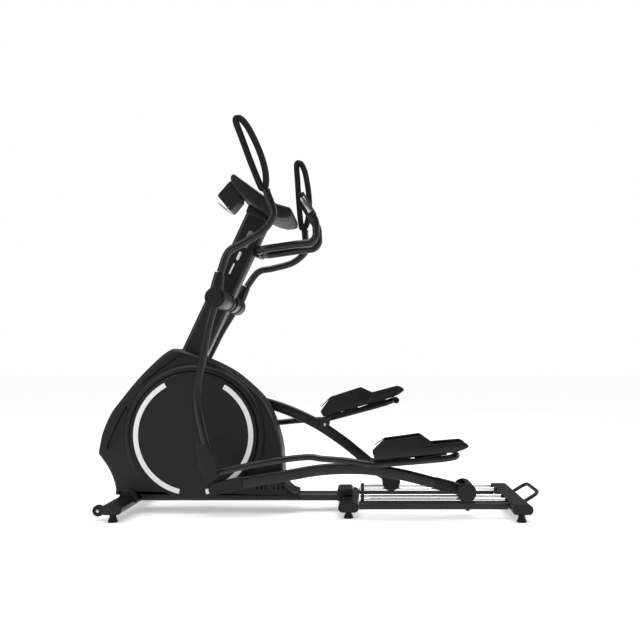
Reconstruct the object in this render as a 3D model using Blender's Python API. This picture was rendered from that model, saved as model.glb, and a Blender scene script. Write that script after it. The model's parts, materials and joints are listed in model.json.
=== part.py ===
"""Elliptical trainer with front drive, sliding rear rollers and moving handles.

Metres, +Z up. The console end points to -X, the rear end to +X, the rider's left is -Y.
The origin is on the floor, midway along the length and on the centre plane.
"""
import math

import bmesh
import bpy
from mathutils import Matrix, Vector

for old in list(bpy.data.objects):
    bpy.data.objects.remove(old)

# ---- driving dimensions -------------------------------------------------------------------
GAP = 0.0003                 # clearance between pieces that touch
RUN = 0.0005                 # running clearance in the pivots
SIDES = {"left": -1.0, "right": 1.0}

# cross bars and feet
FRONT_BAR_X = -0.829
MID_BAR_X = 0.135
REAR_BAR_X = 0.846
BAR_WIDTH = 0.086
BAR_HEIGHT = 0.040
BAR_Z = 0.0535
MID_BAR_Z = 0.047
END_BAR_HALF = 0.300
MID_BAR_HALF = 0.212
FOOT_HEIGHT = 0.030
MID_FOOT_HEIGHT = 0.0235
FOOT_RADIUS = 0.0205
FOOT_NECK = 0.0135
END_FOOT_Y = 0.270
MID_FOOT_Y = 0.185

# beams and guide rods
BEAM_HALF_WIDTH = 0.040
BEAM_LOW = 0.047
BEAM_HEIGHT = 0.032
SIDE_BEAM_OUTER = 0.205
SIDE_BEAM_WIDTH = 0.030
SIDE_BEAM_HEIGHT = 0.030
SIDE_BEAM_TOP = 0.0685
ROD_RADIUS = 0.008
ROD_INNER_Y = 0.094
ROD_OUTER_Y = 0.187
ROD_Z = 0.077

# crank and the wheels that roll on the rods
CRANK_X = -0.535
CRANK_Z = 0.339
CRANK_RADIUS = 0.246
CRANK_ANGLE = math.radians(-65.6)
DISC_MARGIN = 0.0275
ROLLER_GROOVE = 0.026
ROLLER_RIM = 0.036
ROLLER_HALF = 0.013
PIN_RADIUS = 0.010
AXLE_RADIUS = 0.0125

# pedal arms, links and swinging handles
ARM_CHORD = 1.061
ARM_Y = 0.151
ARM_HEIGHT = 0.047
ARM_WIDTH = 0.030
PEDAL_PIVOT_ALONG = 0.677
PEDAL_PIVOT_UP = 0.102
PEDAL_PIN_RADIUS = 0.008
LINK_LENGTH = 0.665
LINK_RADIUS = 0.0135
LINK_Y = 0.2385
SWING_X = -0.409
SWING_Z = 0.919
SWING_LENGTH = 0.727
SWING_Y = 0.270
SWING_TUBE = 0.016
HUB_RADIUS = 0.042
HUB_INNER_Y = 0.180
SPINDLE_RADIUS = 0.014
HANDLE_RADIUS = 0.0155
GRIP_RADIUS = 0.0150
PEDAL_WIDTH = 0.143
PEDAL_OUTER_Y = 0.258

# mast, console and fixed handlebar
MAST_LEAN = math.radians(25.2)
MAST_DEPTH = 0.109
MAST_WIDTH = 0.076
MAST_WALL = 0.003
MAST_TOP_X = -0.269
MAST_TOP_Z = 1.287
MAST_FOOT_Z = 0.560
SLEEVE_DEPTH = 0.060
CONSOLE_HALF = 0.160
FIXED_TUBE = 0.016
FIXED_HALF = 0.100
FIXED_GRIP = 0.0195

# casing and drive
CASING_HALF = 0.084
CASING_WALL = 0.003
CASING_FLOOR = 0.0545
ARM_PLATE = 0.008
DISC_THICK = 0.013
PULLEY_RADIUS = 0.150
PULLEY_Y = 0.030
PULLEY_WIDTH = 0.016
FLYWHEEL_X = -0.800
FLYWHEEL_Z = 0.330
FLYWHEEL_RADIUS = 0.105
FLYWHEEL_PULLEY = 0.020
BELT_THICK = 0.002


# ---- finishes -----------------------------------------------------------------------------
def finish(name, colour, roughness, metallic=0.0):
    mat = bpy.data.materials.new(name)
    mat.use_nodes = True
    shader = mat.node_tree.nodes["Principled BSDF"]
    shader.inputs["Base Color"].default_value = (*colour, 1.0)
    shader.inputs["Roughness"].default_value = roughness
    shader.inputs["Metallic"].default_value = metallic
    return mat


BLACK_PAINT = finish("black_paint", (0.045, 0.046, 0.048), 0.42)
BLACK_PLASTIC = finish("black_plastic", (0.040, 0.041, 0.043), 0.50)
DISC_PLASTIC = finish("disc_plastic", (0.050, 0.051, 0.053), 0.45)
FOAM = finish("grip_foam", (0.030, 0.030, 0.032), 0.80)
RUBBER = finish("rubber", (0.025, 0.025, 0.026), 0.85)
CHROME = finish("chrome", (0.80, 0.81, 0.82), 0.08, 1.0)
STEEL = finish("steel", (0.55, 0.55, 0.56), 0.30, 1.0)
SCREEN = finish("screen", (0.02, 0.025, 0.03), 0.10)
BELT_RUBBER = finish("belt_rubber", (0.02, 0.02, 0.02), 0.70)


# ---- mesh helpers -------------------------------------------------------------------------
def node(name, shape, mat, pivot=(0.0, 0.0, 0.0)):
    """Make an object from a bmesh in world places, with its origin at pivot."""
    bmesh.ops.remove_doubles(shape, verts=shape.verts, dist=0.000001)
    bmesh.ops.recalc_face_normals(shape, faces=shape.faces)
    bmesh.ops.translate(shape, verts=shape.verts, vec=-Vector(pivot))
    mesh = bpy.data.meshes.new(name)
    shape.to_mesh(mesh)
    shape.free()
    mesh.materials.append(mat)
    mesh.shade_smooth()
    mesh.set_sharp_from_angle(angle=math.radians(32))
    thing = bpy.data.objects.new(name, mesh)
    thing.location = pivot
    bpy.context.scene.collection.objects.link(thing)
    return thing


def loft(rings, closed=False):
    """Skin a list of rings of equal length; the ends are filled unless the rings close."""
    shape = bmesh.new()
    rows = [[shape.verts.new(p) for p in ring] for ring in rings]
    count = len(rows[0])
    last = len(rows) if closed else len(rows) - 1
    for i in range(last):
        a = rows[i]
        b = rows[(i + 1) % len(rows)]
        for j in range(count):
            k = (j + 1) % count
            shape.faces.new((a[j], a[k], b[k], b[j]))
    if not closed:
        shape.faces.new(rows[0])
        shape.faces.new(rows[-1])
    return shape


def round_section(radius, count=10):
    step = 2.0 * math.pi / count
    return [(radius * math.cos(i * step), radius * math.sin(i * step)) for i in range(count)]


def bore_section(radius, count=14):
    """Section of a hole whose flats clear a round tube of this radius."""
    return round_section((radius + GAP) / math.cos(math.pi / count), count)


def box_section(width, height, corner, per_corner=1):
    """Rounded rectangle, width along the first axis and height along the second."""
    points = []
    centres = ((1, 1), (-1, 1), (-1, -1), (1, -1))
    for quarter, (sx, sy) in enumerate(centres):
        cx = sx * (width / 2.0 - corner)
        cy = sy * (height / 2.0 - corner)
        for i in range(per_corner + 1):
            a = math.pi / 2.0 * (quarter + i / per_corner)
            points.append((cx + corner * math.cos(a), cy + corner * math.sin(a)))
    return points


def smooth_path(points, steps):
    """Catmull-Rom curve through the points, with steps pieces between each pair."""
    pts = [Vector(p) for p in points]
    ends = [2.0 * pts[0] - pts[1]] + pts + [2.0 * pts[-1] - pts[-2]]
    out = []
    for i in range(1, len(ends) - 2):
        p0, p1, p2, p3 = ends[i - 1:i + 3]
        for s in range(steps):
            t = s / steps
            out.append(0.5 * (2.0 * p1 + (p2 - p0) * t + (2.0 * p0 - 5.0 * p1 + 4.0 * p2 - p3) * t * t
                              + (3.0 * p1 - p0 - 3.0 * p2 + p3) * t ** 3))
    out.append(pts[-1])
    return out


def bent_path(points, radius, steps=3):
    """Straight runs joined by round bends, as a tube bender makes them."""
    pts = [Vector(p) for p in points]
    out = [pts[0]]
    for a, b, c in zip(pts, pts[1:], pts[2:]):
        u = (a - b).normalized()
        w = (c - b).normalized()
        half = u.angle(w) / 2.0
        reach = min(radius / math.tan(half), 0.49 * (a - b).length, 0.49 * (c - b).length)
        turn = reach * math.tan(half)
        centre = b + (u + w).normalized() * (turn / math.sin(half))
        start = b + u * reach - centre
        stop = b + w * reach - centre
        whole = start.angle(stop)
        axis = start.cross(stop).normalized()
        for i in range(steps + 1):
            out.append(centre + Matrix.Rotation(whole * i / steps, 3, axis) @ start)
    out.append(pts[-1])
    return out


def sweep_rings(path, section, side=(0.0, 1.0, 0.0), closed=False):
    """Rings of the section along a path; side is the section's first axis at the start."""
    rings = []
    side = Vector(side)
    count = len(path)
    for i, here in enumerate(path):
        if closed:
            ahead = path[(i + 1) % count] - path[i - 1]
        else:
            ahead = path[min(i + 1, count - 1)] - path[max(i - 1, 0)]
        ahead.normalize()
        side = (side - ahead * side.dot(ahead)).normalized()
        up = side.cross(ahead)
        rings.append([here + side * u + up * v for u, v in section])
    return rings


def sweep(path, section, side=(0.0, 1.0, 0.0), closed=False):
    return loft(sweep_rings(path, section, side, closed), closed)


def hollow_sweep(path, outer, inner, side=(0.0, 1.0, 0.0)):
    """A tube with open ends: out along the outer section, back along the inner one."""
    rings = sweep_rings(path, outer, side)
    rings += list(reversed(sweep_rings(path, inner, side)))
    return loft(rings, closed=True)


def prism(outline, low, high):
    """Solid of an X-Z outline between two Y planes."""
    return loft([[Vector((x, low, z)) for x, z in outline], [Vector((x, high, z)) for x, z in outline]])


def turned(centre_x, centre_z, profile, count=16):
    """Solid of revolution about a Y axis; profile is (y, radius) pairs from end to end."""
    rings = []
    for y, radius in profile:
        step = 2.0 * math.pi / count
        rings.append([Vector((centre_x + radius * math.cos(i * step), y, centre_z + radius * math.sin(i * step)))
                      for i in range(count)])
    return loft(rings)


def turned_ring(centre_x, centre_z, profile, count=24):
    """Ring of revolution about a Y axis; profile is a closed list of (y, radius) pairs."""
    step = 2.0 * math.pi / count
    rings = []
    for i in range(count):
        c = math.cos(i * step)
        s = math.sin(i * step)
        rings.append([Vector((centre_x + r * c, y, centre_z + r * s)) for y, r in profile])
    return loft(rings, closed=True)


def block(low, high):
    x0, y0, z0 = low
    x1, y1, z1 = high
    return prism([(x0, z0), (x1, z0), (x1, z1), (x0, z1)], y0, y1)


def arc(cx, cz, radius, start, stop, count):
    """Points on a circle in the X-Z plane, angles in degrees."""
    out = []
    for i in range(count + 1):
        a = math.radians(start + (stop - start) * i / count)
        out.append((cx + radius * math.cos(a), cz + radius * math.sin(a)))
    return out


def combine(target, tool_shape, how):
    """Cut or join with a Boolean, then drop the tool."""
    tool = node("tool", tool_shape, BLACK_PAINT)
    change = target.modifiers.new(how.lower(), "BOOLEAN")
    change.operation = how
    change.solver = "EXACT"
    change.object = tool
    bpy.context.view_layer.update()
    graph = bpy.context.evaluated_depsgraph_get()
    fresh = bpy.data.meshes.new_from_object(target.evaluated_get(graph))
    stale = target.data
    target.modifiers.remove(change)
    target.data = fresh
    bpy.data.meshes.remove(stale)
    bpy.data.objects.remove(tool)
    target.data.set_sharp_from_angle(angle=math.radians(32))
    return target


def join(target, tool_shape):
    return combine(target, tool_shape, "UNION")


def cut(target, tool_shape):
    return combine(target, tool_shape, "DIFFERENCE")


# ---- the linkage at rest ------------------------------------------------------------------
def linkage(angle):
    """Pivot points in the X-Z plane with the crank pin at an angle."""
    pin = Vector((CRANK_X + CRANK_RADIUS * math.cos(angle), CRANK_Z + CRANK_RADIUS * math.sin(angle)))
    roller_z = ROD_Z + ROD_RADIUS + ROLLER_GROOVE
    drop = roller_z - pin.y
    roller = Vector((pin.x + math.sqrt(ARM_CHORD ** 2 - drop ** 2), roller_z))
    along = (roller - pin).normalized()
    upward = Vector((-along.y, along.x))
    pedal = pin + along * PEDAL_PIVOT_ALONG + upward * PEDAL_PIVOT_UP
    swing = Vector((SWING_X, SWING_Z))
    span = pedal - swing
    reach = (SWING_LENGTH ** 2 - LINK_LENGTH ** 2 + span.length ** 2) / (2.0 * span.length)
    height = math.sqrt(SWING_LENGTH ** 2 - reach ** 2)
    unit = span.normalized()
    elbow = swing + unit * reach + Vector((unit.y, -unit.x)) * height
    return {"pin": pin, "roller": roller, "pedal": pedal, "elbow": elbow, "swing": swing}


def frame_map(origin, direction):
    """Map (along, up) in a part's own plane to world X-Z, along running with direction."""
    unit = direction.normalized()
    upward = Vector((-unit.y, unit.x))

    def place(along, up):
        return origin + unit * along + upward * up

    return place


REST = {"left": linkage(CRANK_ANGLE), "right": linkage(CRANK_ANGLE + math.pi)}


# ---- cross bars, feet, beams and rods -----------------------------------------------------
def cross_bar(name, x, z, half):
    section = box_section(BAR_WIDTH, BAR_HEIGHT, 0.0185, 4)
    path = [Vector((x, -half, z)), Vector((x, half, z))]
    return node(name, sweep(path, section, side=(1.0, 0.0, 0.0)), BLACK_PAINT)


def levelling_foot(name, x, y, bar_z, height):
    """Threaded stud and a rubber-faced pad, turned about the vertical."""
    top = bar_z - BAR_HEIGHT / 2.0 - GAP
    profile = [(0.0, FOOT_RADIUS), (0.006, FOOT_RADIUS), (height * 0.62, FOOT_NECK), (height, FOOT_NECK)]
    rings = []
    for z, radius in profile:
        rings.append([Vector((x + u, y + v, top * z / height)) for u, v in round_section(radius, 12)])
    node(name, loft(rings), RUBBER, pivot=(x, y, 0.0))


front_bar = cross_bar("front_bar", FRONT_BAR_X, BAR_Z, END_BAR_HALF)
cross_bar("rear_bar", REAR_BAR_X, BAR_Z, END_BAR_HALF)
mid_bar = cross_bar("mid_bar", MID_BAR_X, MID_BAR_Z, MID_BAR_HALF)
for side_name, side in SIDES.items():
    levelling_foot("foot_front_" + side_name, FRONT_BAR_X, side * END_FOOT_Y, BAR_Z, FOOT_HEIGHT)
    levelling_foot("foot_rear_" + side_name, REAR_BAR_X, side * END_FOOT_Y, BAR_Z, FOOT_HEIGHT)
    levelling_foot("foot_mid_" + side_name, MID_BAR_X, side * MID_FOOT_Y, MID_BAR_Z, MID_FOOT_HEIGHT)

# the saddle on the middle bar takes the screws of the main beam and of the rails
SADDLE_HALF = 0.055
SADDLE_TOP = 0.105
saddle_front = MID_BAR_X - 0.052
saddle_back = MID_BAR_X + 0.017
join(mid_bar, prism([(saddle_front, MID_BAR_Z), (saddle_back, MID_BAR_Z), (saddle_back, SADDLE_TOP - 0.006),
                     (saddle_back - 0.006, SADDLE_TOP), (saddle_front + 0.006, SADDLE_TOP),
                     (saddle_front, SADDLE_TOP - 0.006)], -SADDLE_HALF, SADDLE_HALF))

rail_start = MID_BAR_X + BAR_WIDTH / 2.0 + GAP
rail_stop = REAR_BAR_X - BAR_WIDTH / 2.0 - GAP
for side_name, side in SIDES.items():
    y = side * (SIDE_BEAM_OUTER - SIDE_BEAM_WIDTH / 2.0)
    z = SIDE_BEAM_TOP - SIDE_BEAM_HEIGHT / 2.0
    section = box_section(SIDE_BEAM_WIDTH, SIDE_BEAM_HEIGHT, 0.004, 1)
    inner = box_section(SIDE_BEAM_WIDTH - 0.004, SIDE_BEAM_HEIGHT - 0.004, 0.003, 1)
    path = [Vector((rail_start, y, z)), Vector((rail_stop, y, z))]
    node("side_beam_" + side_name, hollow_sweep(path, section, inner), BLACK_PAINT)
    for place, rod_y in (("inner", ROD_INNER_Y), ("outer", ROD_OUTER_Y)):
        path = [Vector((rail_start + 0.004, side * rod_y, ROD_Z)), Vector((rail_stop, side * rod_y, ROD_Z))]
        node("guide_rod_" + place + "_" + side_name, sweep(path, round_section(ROD_RADIUS, 12)), CHROME)

# looped tube at the rear, to lift and roll the machine
HANDLE_RISE = 0.050
HANDLE_REACH = 0.955
LIFT_TUBE = 0.0085
lift_start = REAR_BAR_X + BAR_WIDTH / 2.0 + GAP
lift_points = [(lift_start, -0.130, 0.060), (HANDLE_REACH - LIFT_TUBE, -0.130, 0.048 + HANDLE_RISE),
               (HANDLE_REACH - LIFT_TUBE, 0.130, 0.048 + HANDLE_RISE), (lift_start, 0.130, 0.060)]
node("transport_handle", sweep(bent_path(lift_points, 0.035), round_section(LIFT_TUBE)), BLACK_PAINT)

# small wheels ahead of the front bar
WHEEL_RADIUS = 0.024
WHEEL_X = FRONT_BAR_X - BAR_WIDTH / 2.0 - WHEEL_RADIUS - 0.004
WHEEL_Z = 0.040
WHEEL_Y = 0.232
WHEEL_HALF = 0.011
WHEEL_PIN = 0.004
for side_name, side in SIDES.items():
    low = side * (WHEEL_Y - WHEEL_HALF)
    high = side * (WHEEL_Y + WHEEL_HALF)
    profile = [(low, WHEEL_PIN + RUN), (low, WHEEL_RADIUS - 0.003), (side * (WHEEL_Y - 0.007), WHEEL_RADIUS),
               (side * (WHEEL_Y + 0.007), WHEEL_RADIUS), (high, WHEEL_RADIUS - 0.003), (high, WHEEL_PIN + RUN)]
    node("transport_wheel_" + side_name, turned_ring(WHEEL_X, WHEEL_Z, profile, 16), RUBBER, (WHEEL_X, 0.0, WHEEL_Z))
    plate_low = side * (WHEEL_Y - WHEEL_HALF - 0.0055)
    plate_high = side * (WHEEL_Y - WHEEL_HALF - 0.0010)
    lug = arc(WHEEL_X, WHEEL_Z, 0.009, 90, 270, 4)
    lug += [(FRONT_BAR_X - BAR_WIDTH / 2.0 + 0.012, WHEEL_Z - 0.001), (FRONT_BAR_X - BAR_WIDTH / 2.0 + 0.012, BAR_Z + 0.010)]
    join(front_bar, prism(lug, plate_low, plate_high))
    pin_ends = [(side * (WHEEL_Y - WHEEL_HALF - 0.0030), WHEEL_PIN), (side * (WHEEL_Y + WHEEL_HALF + 0.001), WHEEL_PIN)]
    join(front_bar, turned(WHEEL_X, WHEEL_Z, pin_ends, 10))


# ---- main frame: beam, crank post, mast stub and brace ------------------------------------
def mast_point(z, offset=0.0):
    """Point on the mast's middle line at a height, moved to the rear by offset."""
    x = MAST_TOP_X - (MAST_TOP_Z - z) * math.tan(MAST_LEAN)
    return (x + offset * math.cos(MAST_LEAN), z - offset * math.sin(MAST_LEAN))


def strut(start, stop, depth, half):
    """Flat box tube between two X-Z points, half its width on each side of the middle."""
    a = Vector(start)
    b = Vector(stop)
    place = frame_map(a, b - a)
    length = (b - a).length
    corners = [place(0.0, -depth / 2.0), place(length, -depth / 2.0), place(length, depth / 2.0),
               place(0.0, depth / 2.0)]
    return prism([tuple(c) for c in corners], -half, half)


beam_front = FRONT_BAR_X + BAR_WIDTH / 2.0 + GAP
beam_back = saddle_front - GAP
beam_mid_z = BEAM_LOW + BEAM_HEIGHT / 2.0
beam_path = [Vector((beam_front, 0.0, beam_mid_z)), Vector((beam_back, 0.0, beam_mid_z))]
main_frame = node("main_frame", sweep(beam_path, box_section(2.0 * BEAM_HALF_WIDTH, BEAM_HEIGHT, 0.006)), BLACK_PAINT)
POST_HALF = 0.020
stub_top = mast_point(MAST_FOOT_Z + SLEEVE_DEPTH * math.cos(MAST_LEAN))
stub_low = mast_point(MAST_FOOT_Z - 0.040)
post_foot = (CRANK_X + 0.060, BEAM_LOW + BEAM_HEIGHT - 0.005)
post_head = (CRANK_X - 0.045, MAST_FOOT_Z - 0.035)
join(main_frame, strut(post_foot, (CRANK_X, CRANK_Z), 0.060, POST_HALF))
join(main_frame, strut((CRANK_X + 0.004, CRANK_Z - 0.020), post_head, 0.058, POST_HALF - 0.001))
join(main_frame, strut((FRONT_BAR_X + 0.060, BEAM_LOW + BEAM_HEIGHT - 0.004), (CRANK_X + 0.020, CRANK_Z - 0.095),
                       0.034, POST_HALF - 0.002))
stub_section = box_section(MAST_WIDTH - 2.0 * (MAST_WALL + RUN), MAST_DEPTH - 2.0 * (MAST_WALL + RUN), 0.014)
stub_path = [Vector((stub_low[0], 0.0, stub_low[1])), Vector((stub_top[0], 0.0, stub_top[1]))]
join(main_frame, sweep(stub_path, stub_section))
BEARING_HALF = 0.027
join(main_frame, turned(CRANK_X, CRANK_Z, [(-BEARING_HALF, 0.034), (BEARING_HALF, 0.034)]))
cut(main_frame, turned(CRANK_X, CRANK_Z, [(-0.1, AXLE_RADIUS + RUN), (0.1, AXLE_RADIUS + RUN)], 16))
FORK_IN = -0.0320
FORK_OUT = -0.0265
fork_outline = arc(FLYWHEEL_X, FLYWHEEL_Z, 0.022, 0, 180, 6)
fork_outline += [(FRONT_BAR_X + 0.085, 0.105), (FRONT_BAR_X + 0.160, 0.105)]
join(main_frame, prism(fork_outline, FORK_IN, FORK_OUT))
join(main_frame, block((FRONT_BAR_X + 0.090, FORK_IN + 0.001, 0.075), (FRONT_BAR_X + 0.155, -0.010, 0.128)))
FLY_SHAFT = 0.008
cut(main_frame, turned(FLYWHEEL_X, FLYWHEEL_Z, [(-0.05, FLY_SHAFT + RUN), (0.0, FLY_SHAFT + RUN)], 16))

# ---- drive inside the casing --------------------------------------------------------------
crank_pivot = (CRANK_X, 0.0, CRANK_Z)
arm_plate_y = CASING_HALF + 0.0010
axle_end = arm_plate_y + ARM_PLATE
node("crank_axle", turned(CRANK_X, CRANK_Z, [(-axle_end, AXLE_RADIUS), (axle_end, AXLE_RADIUS)], 16), STEEL, crank_pivot)
pulley_low = PULLEY_Y
pulley_high = PULLEY_Y + PULLEY_WIDTH
pulley_bore = AXLE_RADIUS + GAP
pulley_profile = [(pulley_low, pulley_bore), (pulley_low, 0.035), (pulley_low + 0.005, 0.040),
                  (pulley_low + 0.005, PULLEY_RADIUS - 0.010), (pulley_low, PULLEY_RADIUS - 0.001),
                  (pulley_high, PULLEY_RADIUS - 0.001), (pulley_high - 0.005, PULLEY_RADIUS - 0.010),
                  (pulley_high - 0.005, 0.040), (pulley_high, 0.035), (pulley_high, pulley_bore)]
node("crank_pulley", turned_ring(CRANK_X, CRANK_Z, pulley_profile, 24), BLACK_PLASTIC, crank_pivot)
fly_pivot = (FLYWHEEL_X, 0.0, FLYWHEEL_Z)
fly_profile = [(-0.044, FLY_SHAFT), (-0.0245, FLY_SHAFT), (-0.0245, 0.030), (-0.018, 0.032),
               (-0.018, FLYWHEEL_RADIUS - 0.022), (-0.024, FLYWHEEL_RADIUS - 0.018), (-0.024, FLYWHEEL_RADIUS),
               (0.012, FLYWHEEL_RADIUS), (0.012, FLYWHEEL_RADIUS - 0.018), (0.006, FLYWHEEL_RADIUS - 0.022),
               (0.006, FLYWHEEL_PULLEY - GAP), (pulley_high, FLYWHEEL_PULLEY - GAP)]
node("flywheel", turned(FLYWHEEL_X, FLYWHEEL_Z, fly_profile, 24), STEEL, fly_pivot)


def belt_outline(offset):
    """Loop round both pulleys at an offset from their rims."""
    span = Vector((CRANK_X - FLYWHEEL_X, CRANK_Z - FLYWHEEL_Z))
    tilt = math.degrees(math.atan2(span.y, span.x))
    wrap = math.degrees(math.acos((PULLEY_RADIUS - FLYWHEEL_PULLEY) / span.length))
    big = PULLEY_RADIUS + offset
    small = FLYWHEEL_PULLEY + offset
    out = arc(CRANK_X, CRANK_Z, big, tilt - 180.0 + wrap, tilt + 180.0 - wrap, 20)
    out += arc(FLYWHEEL_X, FLYWHEEL_Z, small, tilt + 180.0 - wrap, tilt + 180.0 + wrap, 6)
    return out


belt_rings = []
for offset, y in ((GAP, pulley_low + 0.001), (BELT_THICK, pulley_low + 0.001), (BELT_THICK, pulley_high - 0.001),
                  (GAP, pulley_high - 0.001)):
    belt_rings.append([Vector((x, y, z)) for x, z in belt_outline(offset)])
node("drive_belt", loft(belt_rings, closed=True), BELT_RUBBER)

BRAKE_GAP = 0.0035
brake_low = FLYWHEEL_RADIUS + BRAKE_GAP
brake_outline = arc(FLYWHEEL_X, FLYWHEEL_Z, brake_low, 95, 160, 8)
brake_outline += arc(FLYWHEEL_X, FLYWHEEL_Z, brake_low + 0.007, 160, 95, 8)
brake_pivot = arc(FLYWHEEL_X, FLYWHEEL_Z, brake_low + 0.0035, 95, 96, 1)[0]
node("brake_bracket", prism(brake_outline, -0.026, 0.014), STEEL, (brake_pivot[0], 0.0, brake_pivot[1]))

disc_radius = CRANK_RADIUS + DISC_MARGIN
disc_low = axle_end + 0.0005
disc_high = disc_low + DISC_THICK
pin_end = ARM_Y - ARM_WIDTH / 2.0 - 0.0010
for side_name, side in SIDES.items():
    pivots = REST[side_name]
    centre = Vector((CRANK_X, CRANK_Z))
    pin = pivots["pin"]
    place = frame_map(centre, pin - centre)
    outline = [tuple(place(0.030 * math.cos(math.radians(a)), 0.030 * math.sin(math.radians(a))))
               for a in range(60, 301, 30)]
    outline += [tuple(place(CRANK_RADIUS + 0.018 * math.cos(math.radians(a)), 0.018 * math.sin(math.radians(a))))
                for a in range(-90, 91, 30)]
    crank = node("crank_arm_" + side_name, prism(outline, side * arm_plate_y, side * axle_end), STEEL, crank_pivot)
    cut(crank, turned(CRANK_X, CRANK_Z, [(-0.2, AXLE_RADIUS + GAP), (0.2, AXLE_RADIUS + GAP)], 16))
    join(crank, turned(pin.x, pin.y, [(side * (arm_plate_y + 0.002), PIN_RADIUS), (side * pin_end, PIN_RADIUS)], 12))
    rim_low = side * disc_low
    rim_high = side * disc_high
    disc = node("crank_disc_" + side_name,
                turned(CRANK_X, CRANK_Z, [(rim_low, disc_radius), (rim_high - side * 0.003, disc_radius),
                                          (rim_high, disc_radius - 0.003)], 40), DISC_PLASTIC, crank_pivot)
    cut(disc, turned(pin.x, pin.y, [(-0.2, PIN_RADIUS + GAP * 2.0), (0.2, PIN_RADIUS + GAP * 2.0)], 12))


# ---- casing: two moulded shells that meet on the centre plane -----------------------------
NOSE_X = -0.955
CASING_BACK = -0.085


def casing_outline():
    """Side outline, from the front foot over the top to the rear foot."""
    clear = BAR_Z + BAR_HEIGHT / 2.0 + 0.003
    step_x = FRONT_BAR_X + BAR_WIDTH / 2.0 + 0.011
    front = [(FRONT_BAR_X - 0.053, clear), (-0.881, 0.110), (-0.895, 0.158), (-0.9175, 0.203), (NOSE_X, 0.256),
             (-0.954, 0.270)]
    crown = smooth_path([(-0.954, 0.270, 0), (-0.938, 0.346, 0), (-0.902, 0.429, 0), (-0.8545, 0.494, 0),
                         (-0.789, 0.5745, 0), (-0.730, 0.6365, 0), (-0.6585, 0.699, 0), (-0.608, 0.712, 0),
                         (-0.492, 0.674, 0), (-0.385, 0.622, 0), (-0.314, 0.568, 0), (-0.255, 0.512, 0),
                         (-0.219, 0.464, 0), (-0.184, 0.3815, 0), (-0.160, 0.292, 0),
                         (-0.154, 0.233, 0)], 1)
    back = [(-0.150, 0.170), (-0.1375, 0.126), (-0.113, 0.100), (CASING_BACK, 0.089), (CASING_BACK, CASING_FLOOR),
            (step_x, CASING_FLOOR), (step_x, clear)]
    return front[:-1] + [(p.x, p.y) for p in crown] + back


def inset(outline, amount):
    """Outline moved inwards by amount along the mean of its two edge normals."""
    area = sum(a[0] * b[1] - b[0] * a[1] for a, b in zip(outline, outline[1:] + outline[:1]))
    turn = 1.0 if area > 0 else -1.0
    out = []
    count = len(outline)
    for i in range(count):
        here = Vector(outline[i])
        before = (here - Vector(outline[i - 1])).normalized()
        after = (Vector(outline[(i + 1) % count]) - here).normalized()
        n1 = Vector((-before.y, before.x)) * turn
        n2 = Vector((-after.y, after.x)) * turn
        mean = (n1 + n2).normalized()
        out.append(tuple(here + mean * amount / max(0.5, mean.dot(n1))))
    return out


CHAMFER = 0.014
shell_outline = casing_outline()
mast_hole = box_section(MAST_WIDTH + 0.002, MAST_DEPTH + 0.002, 0.016)
mast_low = mast_point(0.560)
mast_high = mast_point(0.800)
for side_name, side in SIDES.items():
    shoulder = CASING_HALF - CHAMFER
    layers = [(GAP, 0.0), (shoulder, 0.0), (CASING_HALF, CHAMFER), (CASING_HALF - CASING_WALL, CHAMFER + CASING_WALL),
              (shoulder - CASING_WALL, CASING_WALL), (GAP, CASING_WALL)]
    rings = [[Vector((x, side * y, z)) for x, z in inset(shell_outline, amount)] for y, amount in layers]
    shape = bmesh.new()
    rows = [[shape.verts.new(p) for p in ring] for ring in rings]
    count = len(rows[0])
    for a, b in ((0, 1), (1, 2), (3, 4), (4, 5), (5, 0)):
        for j in range(count):
            k = (j + 1) % count
            shape.faces.new((rows[a][j], rows[a][k], rows[b][k], rows[b][j]))
    shape.faces.new(rows[2])
    shape.faces.new(rows[3])
    shell = node("casing_" + side_name, shape, BLACK_PLASTIC)
    cut(shell, turned(CRANK_X, CRANK_Z, [(-0.2, AXLE_RADIUS + 0.004), (0.2, AXLE_RADIUS + 0.004)], 16))
    cut(shell, block((-0.95, -BEAM_HALF_WIDTH - 0.001, -0.1), (0.0, BEAM_HALF_WIDTH + 0.001, BEAM_LOW + BEAM_HEIGHT + 0.001)))
    cut(shell, sweep([Vector((mast_low[0], 0.0, mast_low[1])), Vector((mast_high[0], 0.0, mast_high[1]))], mast_hole))

# ---- mast, handle axle, console and fixed handlebar ---------------------------------------
mast_foot = mast_point(MAST_FOOT_Z)
mast_path = [Vector((mast_foot[0], 0.0, mast_foot[1])), Vector((MAST_TOP_X, 0.0, MAST_TOP_Z))]
mast = node("mast", hollow_sweep(mast_path, box_section(MAST_WIDTH, MAST_DEPTH, 0.016),
                                 box_section(MAST_WIDTH - 2.0 * MAST_WALL, MAST_DEPTH - 2.0 * MAST_WALL, 0.013)),
            BLACK_PAINT)
CROSS_TUBE = HUB_RADIUS - 0.004
cut(mast, turned(SWING_X, SWING_Z, [(-0.2, CROSS_TUBE + GAP), (0.2, CROSS_TUBE + GAP)]))
cross_end = HUB_INNER_Y - 0.0005
spindle_end = SWING_Y + 0.006
axle_profile = [(-spindle_end, SPINDLE_RADIUS), (-cross_end, SPINDLE_RADIUS), (-cross_end, CROSS_TUBE),
                (cross_end, CROSS_TUBE), (cross_end, SPINDLE_RADIUS), (spindle_end, SPINDLE_RADIUS)]
node("handle_axle", turned(SWING_X, SWING_Z, axle_profile), BLACK_PAINT)

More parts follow.
